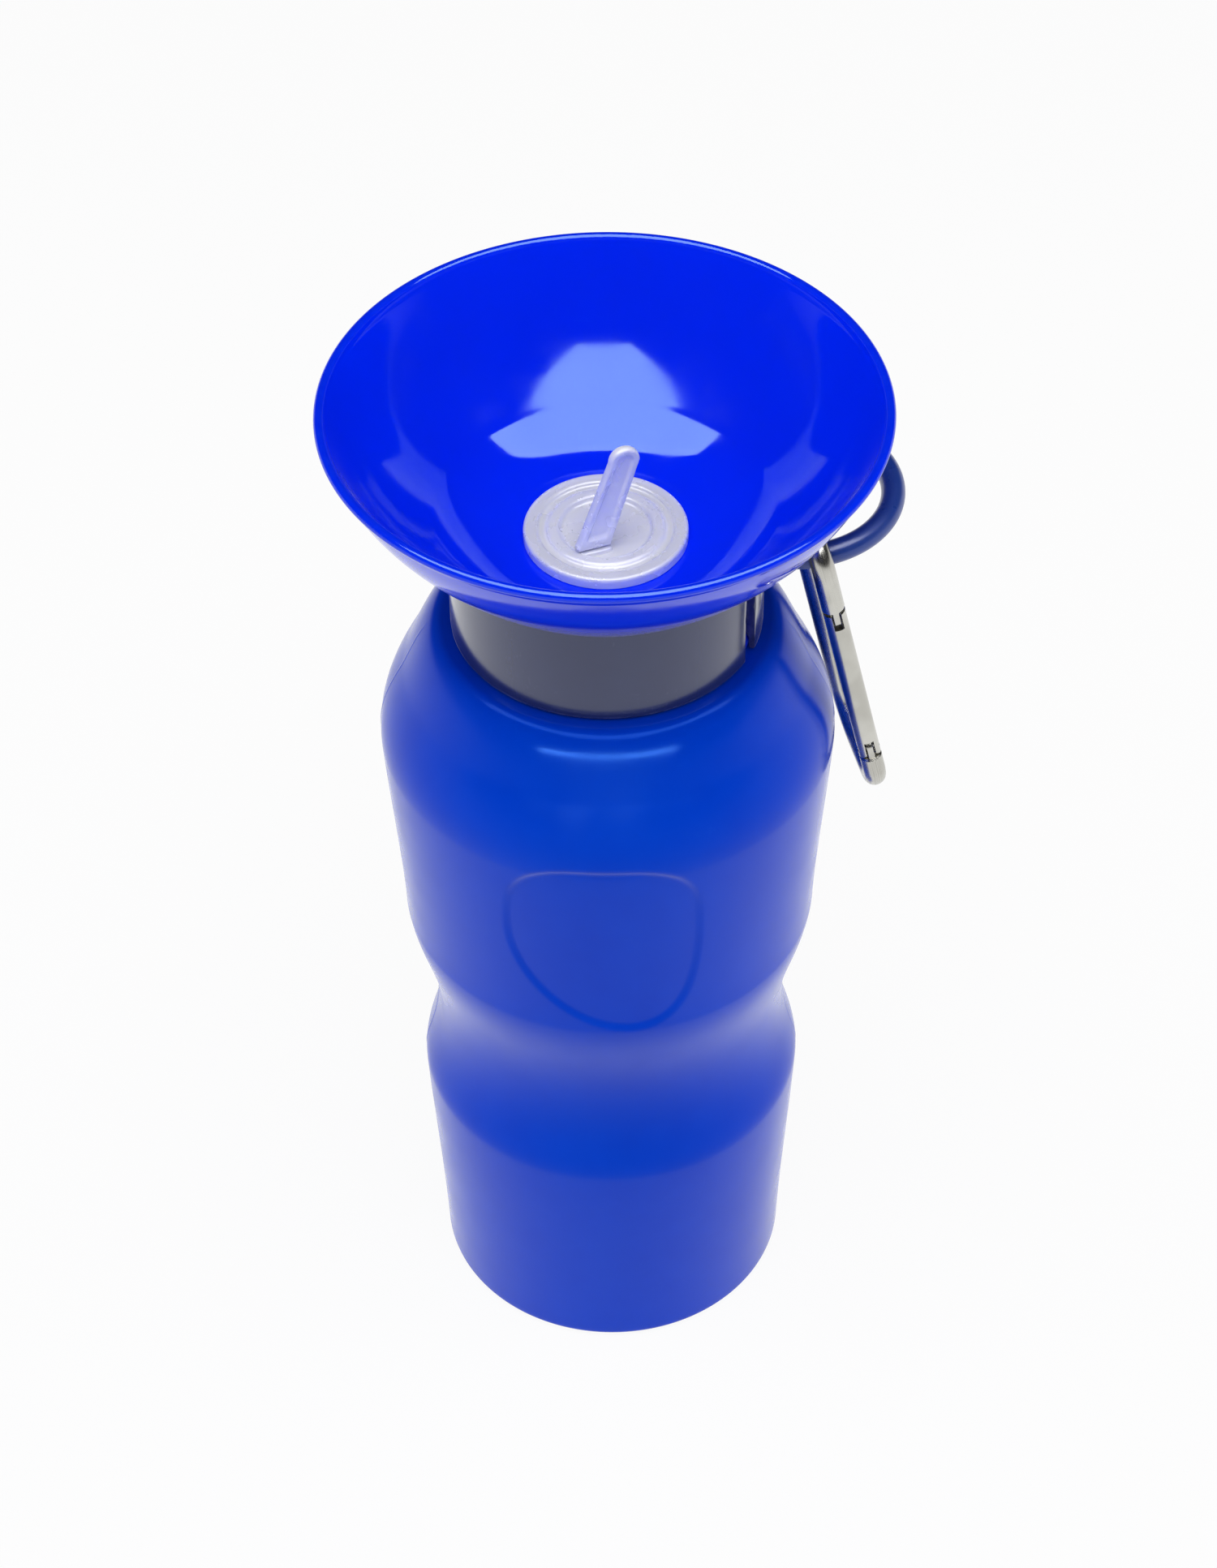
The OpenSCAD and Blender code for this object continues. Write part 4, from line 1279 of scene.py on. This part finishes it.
@dataclass
class Carabiner:
    """Snap clip: a bent rod with a gate as its long front leg."""

    rod_r: float = 2.3
    corner_r: float = 5.1
    width: float = 23.1
    length: float = 68.1
    top_r: float = 9.0
    low_r: float = 9.0
    toe_r: float = 7.0
    gate_len: float = 39.4
    tongue_t: float = 1.6
    cad_nodes: tuple = field(default=("carabiner_gate", "gate_pin", "gate_spring", "gate_plunger"))

    def __post_init__(self) -> None:
        """Takes the clip's place and plane from the joint on which it swings."""
        swing = next(j for j in frame["joints"] if j["name"] == "carabiner_swing")
        self.at = np.array(swing["pos_m"], float) / MM
        self.normal = np.array(swing["axis"], float)
        self.normal /= np.linalg.norm(self.normal)
        self.across = np.cross([0, 0, 1], self.normal)
        self.across /= np.linalg.norm(self.across)
        self.up = np.cross(self.normal, self.across)
        self.low = self.corner_r - self.length
        self.pin_z = self.low + self.toe_r + 6
        self.gate_r = self.rod_r - 0.05
        self.nose_z = self.pin_z + self.gate_len + 0.6
        self.stub_z = self.pin_z - self.gate_r - 0.15

    def spot(self, y: Array, z: Array) -> Array:
        """Points of the clip's own plane in the model's frame."""
        return self.at + np.asarray(y)[..., None] * self.across + np.asarray(z)[..., None] * self.up

    def centre_line(self) -> Array:
        """Middle of the bent rod: straight runs joined by four quarter circles."""
        c, spine = self.corner_r, self.width - self.corner_r
        parts = [
            np.stack([np.full(12, -c), np.linspace(self.nose_z, -0.6, 12)], axis=1),
            arc((0, 0), c, 180, 90, 24),
            arc((spine - self.top_r, c - self.top_r), self.top_r, 90, 0, 30),
            np.stack([np.full(30, spine), np.linspace(c - self.top_r - 1, self.low + self.low_r + 1, 30)], axis=1),
            arc((spine - self.low_r, self.low + self.low_r), self.low_r, 0, -90, 30),
            arc((self.toe_r - c, self.low + self.toe_r), self.toe_r, -90, -180, 24),
            np.stack([np.full(6, -c), np.linspace(self.low + self.toe_r + 0.6, self.stub_z, 6)], axis=1)]
        flat = evenly(np.concatenate(parts), 0.6)
        return self.spot(flat[:, 0], flat[:, 1])

    def tongue(self, name: str, low: float, high: float, half: float, tip: float) -> bpy.types.Object:
        """Flat tongue between rod and gate: a rounded bar whose end is drawn in as a half circle."""
        share = np.linspace(0, 1, 22)
        z = low + (high - low) * share
        left = (high - z) / tip if high > low else (z - high) / tip
        scale = np.sqrt(np.clip(1 - (1 - np.clip(left, 0, 1)) ** 2, 0.03, 1))
        a = np.linspace(0, 2 * math.pi, 40, endpoint=False)
        c, s = np.cos(a), np.sin(a)
        wide, thick = half * np.sign(c) * np.abs(c) ** 0.5, self.tongue_t / 2 * np.sign(s) * np.abs(s) ** 0.3
        middle = self.spot(np.full(22, -self.corner_r), z)
        grid = (middle[:, None, :] + (wide[None, :] * scale[:, None])[..., None] * self.across
                + thick[None, :, None] * self.normal)
        rows, columns = grid.shape[:2]
        points = grid.reshape(-1, 3)
        last = (rows - 1) * columns
        ends = np.stack([points[:columns].mean(axis=0), points[last:].mean(axis=0)])
        j = np.arange(columns)
        j2 = (j + 1) % columns
        triangles = np.concatenate([
            np.stack([np.full(columns, rows * columns), j2, j], axis=1),
            np.stack([np.full(columns, rows * columns + 1), last + j, last + j2], axis=1)])
        zeros = np.zeros(len(points) + 2)
        return build_mesh(name, np.concatenate([points, ends]), grid_quads(rows, columns, False, True),
                          triangles, zeros, np.column_stack([zeros, zeros]))

    def build(self, wardrobe: Wardrobe) -> None:
        """Makes the rod and its two tongues, and dresses the gate, pin, spring and plunger."""
        path, scale = soft_ends(self.centre_line(), self.rod_r, 0.35)
        rod = swept("carabiner_rod", path, round_section(self.rod_r, 48), self.normal, scale)
        wardrobe.fit(rod, "carabiner", SILVER, "carabiner_body")
        hinge = self.tongue("hinge_tongue", self.stub_z - 0.4, self.pin_z + 1.8, 1.8, 1.8)
        nose = self.tongue("nose_tongue", self.nose_z + 0.4, self.nose_z - 3.6, 1.9, 0.6)
        wardrobe.fit(hinge, "carabiner", SILVER)
        wardrobe.fit(nose, "carabiner", SILVER)
        for node in self.cad_nodes:
            finish = SILVER if node == "carabiner_gate" else STEEL
            wardrobe.dress(frame["nodes"][node], finish)


# ---------------------------------------------------------------- studio


@dataclass
class Studio:
    """White floor, plain surroundings, soft lamps and the camera. Lengths here are metres."""

    camera_at: tuple = (0.0, -0.5792, 0.70198)
    target: tuple = (0.0, 0.0, 0.1359)
    lens_mm: float = 90.06
    sensor_mm: float = 36.0
    roll: float = -0.6
    floor_half: float = 4.0
    floor_glow: float = 0.93
    panel_z: float = 0.95
    panel_glow: float = 7.5
    strip_watts: float = 36.0

    def build(self) -> None:
        """Makes the floor, the world, the lamps and the camera."""
        self.floor()
        self.world()
        self.panel()
        self.lamp("softbox_top", (0.0, -0.24, 0.95), (0.0, -0.02, 0.2), (0.7, 0.5), 4.9)
        self.lamp("fill_front", (0.0, -2.2, 0.35), (0.0, 0.0, 0.1), (1.6, 0.5), 11.0)
        self.lamp("strip_left", (-1.1, 0.1, 0.3), (0.0, 0.0, 0.12), (0.9, 0.5), 4.0)
        self.lamp("strip_right", (1.1, 0.1, 0.3), (0.0, 0.0, 0.12), (0.9, 0.5), 4.0)
        self.camera()

    def panel(self) -> None:
        """Softbox cloth over the bottle that only reflections show; the lamp beside it gives the light."""
        half = [(0.18, -0.66), (0.42, -0.44), (0.66, -0.2), (0.84, -0.03), (0.7, 0.03), (0.55, 0.09),
                (0.4, 0.17), (0.2, 0.22)]
        corners = half + [(-x, y) for x, y in reversed(half)]
        mesh = bpy.data.meshes.new("softbox_cloth")
        mesh.from_pydata([(x, y, self.panel_z) for x, y in corners], [], [tuple(range(len(corners)))])
        piece = bpy.data.objects.new("softbox_cloth", mesh)
        bpy.context.scene.collection.objects.link(piece)
        for ray in ("camera", "diffuse", "transmission", "shadow"):
            setattr(piece, "visible_" + ray, False)
        made = bpy.data.materials.new("softbox_cloth")
        made.use_nodes = True
        tree = made.node_tree
        tree.nodes.clear()
        w = Wires(tree)
        glow = w.node("ShaderNodeEmission")
        glow.inputs["Strength"].default_value = self.panel_glow
        w.join(glow.outputs["Emission"], w.node("ShaderNodeOutputMaterial").inputs["Surface"])
        mesh.materials.append(made)

    def floor(self) -> None:
        """Pale floor that mostly shows as plain white and keeps a faint shadow."""
        h = self.floor_half
        mesh = bpy.data.meshes.new("studio_floor")
        mesh.from_pydata([(-h, -h, 0), (h, -h, 0), (h, h, 0), (-h, h, 0)], [], [(0, 1, 2, 3)])
        piece = bpy.data.objects.new("studio_floor", mesh)
        bpy.context.scene.collection.objects.link(piece)
        piece.location.z = -0.0004
        made = bpy.data.materials.new("studio_white")
        made.use_nodes = True
        tree = made.node_tree
        tree.nodes.clear()
        w = Wires(tree)
        matt = w.node("ShaderNodeBsdfDiffuse")
        matt.inputs["Color"].default_value = (0.86, 0.86, 0.88, 1)
        glow = w.node("ShaderNodeEmission")
        rays = w.node("ShaderNodeLightPath")
        seen = w.maths("MAXIMUM", rays.outputs["Is Camera Ray"],
                       w.maths("MAXIMUM", rays.outputs["Is Glossy Ray"], rays.outputs["Is Transmission Ray"]))
        mix = w.node("ShaderNodeMixShader")
        w.join(w.maths("MULTIPLY", seen, self.floor_glow), mix.inputs["Fac"])
        w.join(matt.outputs["BSDF"], mix.inputs[1])
        w.join(glow.outputs["Emission"], mix.inputs[2])
        w.join(mix.outputs["Shader"], w.node("ShaderNodeOutputMaterial").inputs["Surface"])
        mesh.materials.append(made)

    def world(self) -> None:
        """White to the camera; to gloss, white round the horizon and dark overhead."""
        world = bpy.data.worlds.new("studio_world")
        bpy.context.scene.world = world
        world.use_nodes = True
        tree = world.node_tree
        tree.nodes.clear()
        w = Wires(tree)
        way = w.node("ShaderNodeSeparateXYZ")
        w.join(w.node("ShaderNodeTexCoord").outputs["Generated"], way.inputs["Vector"])
        rays = w.node("ShaderNodeLightPath")
        band = w.span(way.outputs["Z"], -0.05, 0.12, 1.0, 0.02)
        shiny = w.maths("MAXIMUM", rays.outputs["Is Glossy Ray"], rays.outputs["Is Transmission Ray"])
        level = w.span(shiny, 0.0, 1.0, 0.32, band)
        level = w.maths("MAXIMUM", level, rays.outputs["Is Camera Ray"])
        sky = w.node("ShaderNodeBackground")
        w.join(level, sky.inputs["Strength"])
        w.join(sky.outputs["Background"], w.node("ShaderNodeOutputWorld").inputs["Surface"])

    def lamp(self, name: str, at: tuple, aim: tuple, size: tuple, watts: float) -> None:
        """Rectangular soft lamp.

        Args:
            name: Name of the lamp.
            at: Its place.
            aim: The point that it faces.
            size: Its width and height.
            watts: Its power.
        """
        data = bpy.data.lights.new(name, "AREA")
        data.shape = "RECTANGLE"
        data.size, data.size_y = size
        data.energy = watts
        made = bpy.data.objects.new(name, data)
        made.location = at
        made.rotation_euler = (Vector(aim) - Vector(at)).to_track_quat("-Z", "Y").to_euler()
        made.visible_camera = False
        made.visible_glossy = False
        bpy.context.scene.collection.objects.link(made)

    def shoulder_strip(self, shell: bpy.types.Object) -> None:
        """Low wide strip in front that draws the crescent on the bottle's shoulder and lights nothing else."""
        self.lamp("strip_shoulder", (0.0, -1.6, 0.62), (0.0, 0.0, 0.17), (2.4, 0.07), self.strip_watts)
        strip = bpy.data.objects["strip_shoulder"]
        strip.visible_glossy = True
        strip.visible_diffuse = False
        lit = bpy.data.collections.new("lit_by_strip")
        lit.objects.link(shell)
        strip.light_linking.receiver_collection = lit

    def camera(self) -> None:
        """Camera that looks down on the bottle's front."""
        data = bpy.data.cameras.new("studio_camera")
        data.lens = self.lens_mm
        data.sensor_width = self.sensor_mm
        data.clip_start, data.clip_end = 0.01, 20.0
        made = bpy.data.objects.new("studio_camera", data)
        aim = (Vector(self.target) - Vector(self.camera_at)).to_track_quat("-Z", "Y").to_matrix().to_4x4()
        made.matrix_world = (Matrix.Translation(self.camera_at) @ aim
                             @ Matrix.Rotation(math.radians(self.roll), 4, "Z"))
        bpy.context.scene.collection.objects.link(made)
        bpy.context.scene.camera = made


def main() -> None:
    """Builds the sub-assemblies in order."""
    logging.basicConfig(level=logging.INFO, format="%(message)s")
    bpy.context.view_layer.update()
    bpy.context.scene.view_settings.view_transform = "Standard"
    studio = Studio()
    studio.build()
    wardrobe = Wardrobe()
    for part in (Bottle(), Bowl(), Stopper(), Collar(), Carabiner()):
        LOG.info("building the %s", type(part).__name__)
        part.build(wardrobe)
    studio.shoulder_strip(bpy.data.objects["bottle_shell"])
    bpy.context.view_layer.update()


if __name__ == "__main__":
    main()
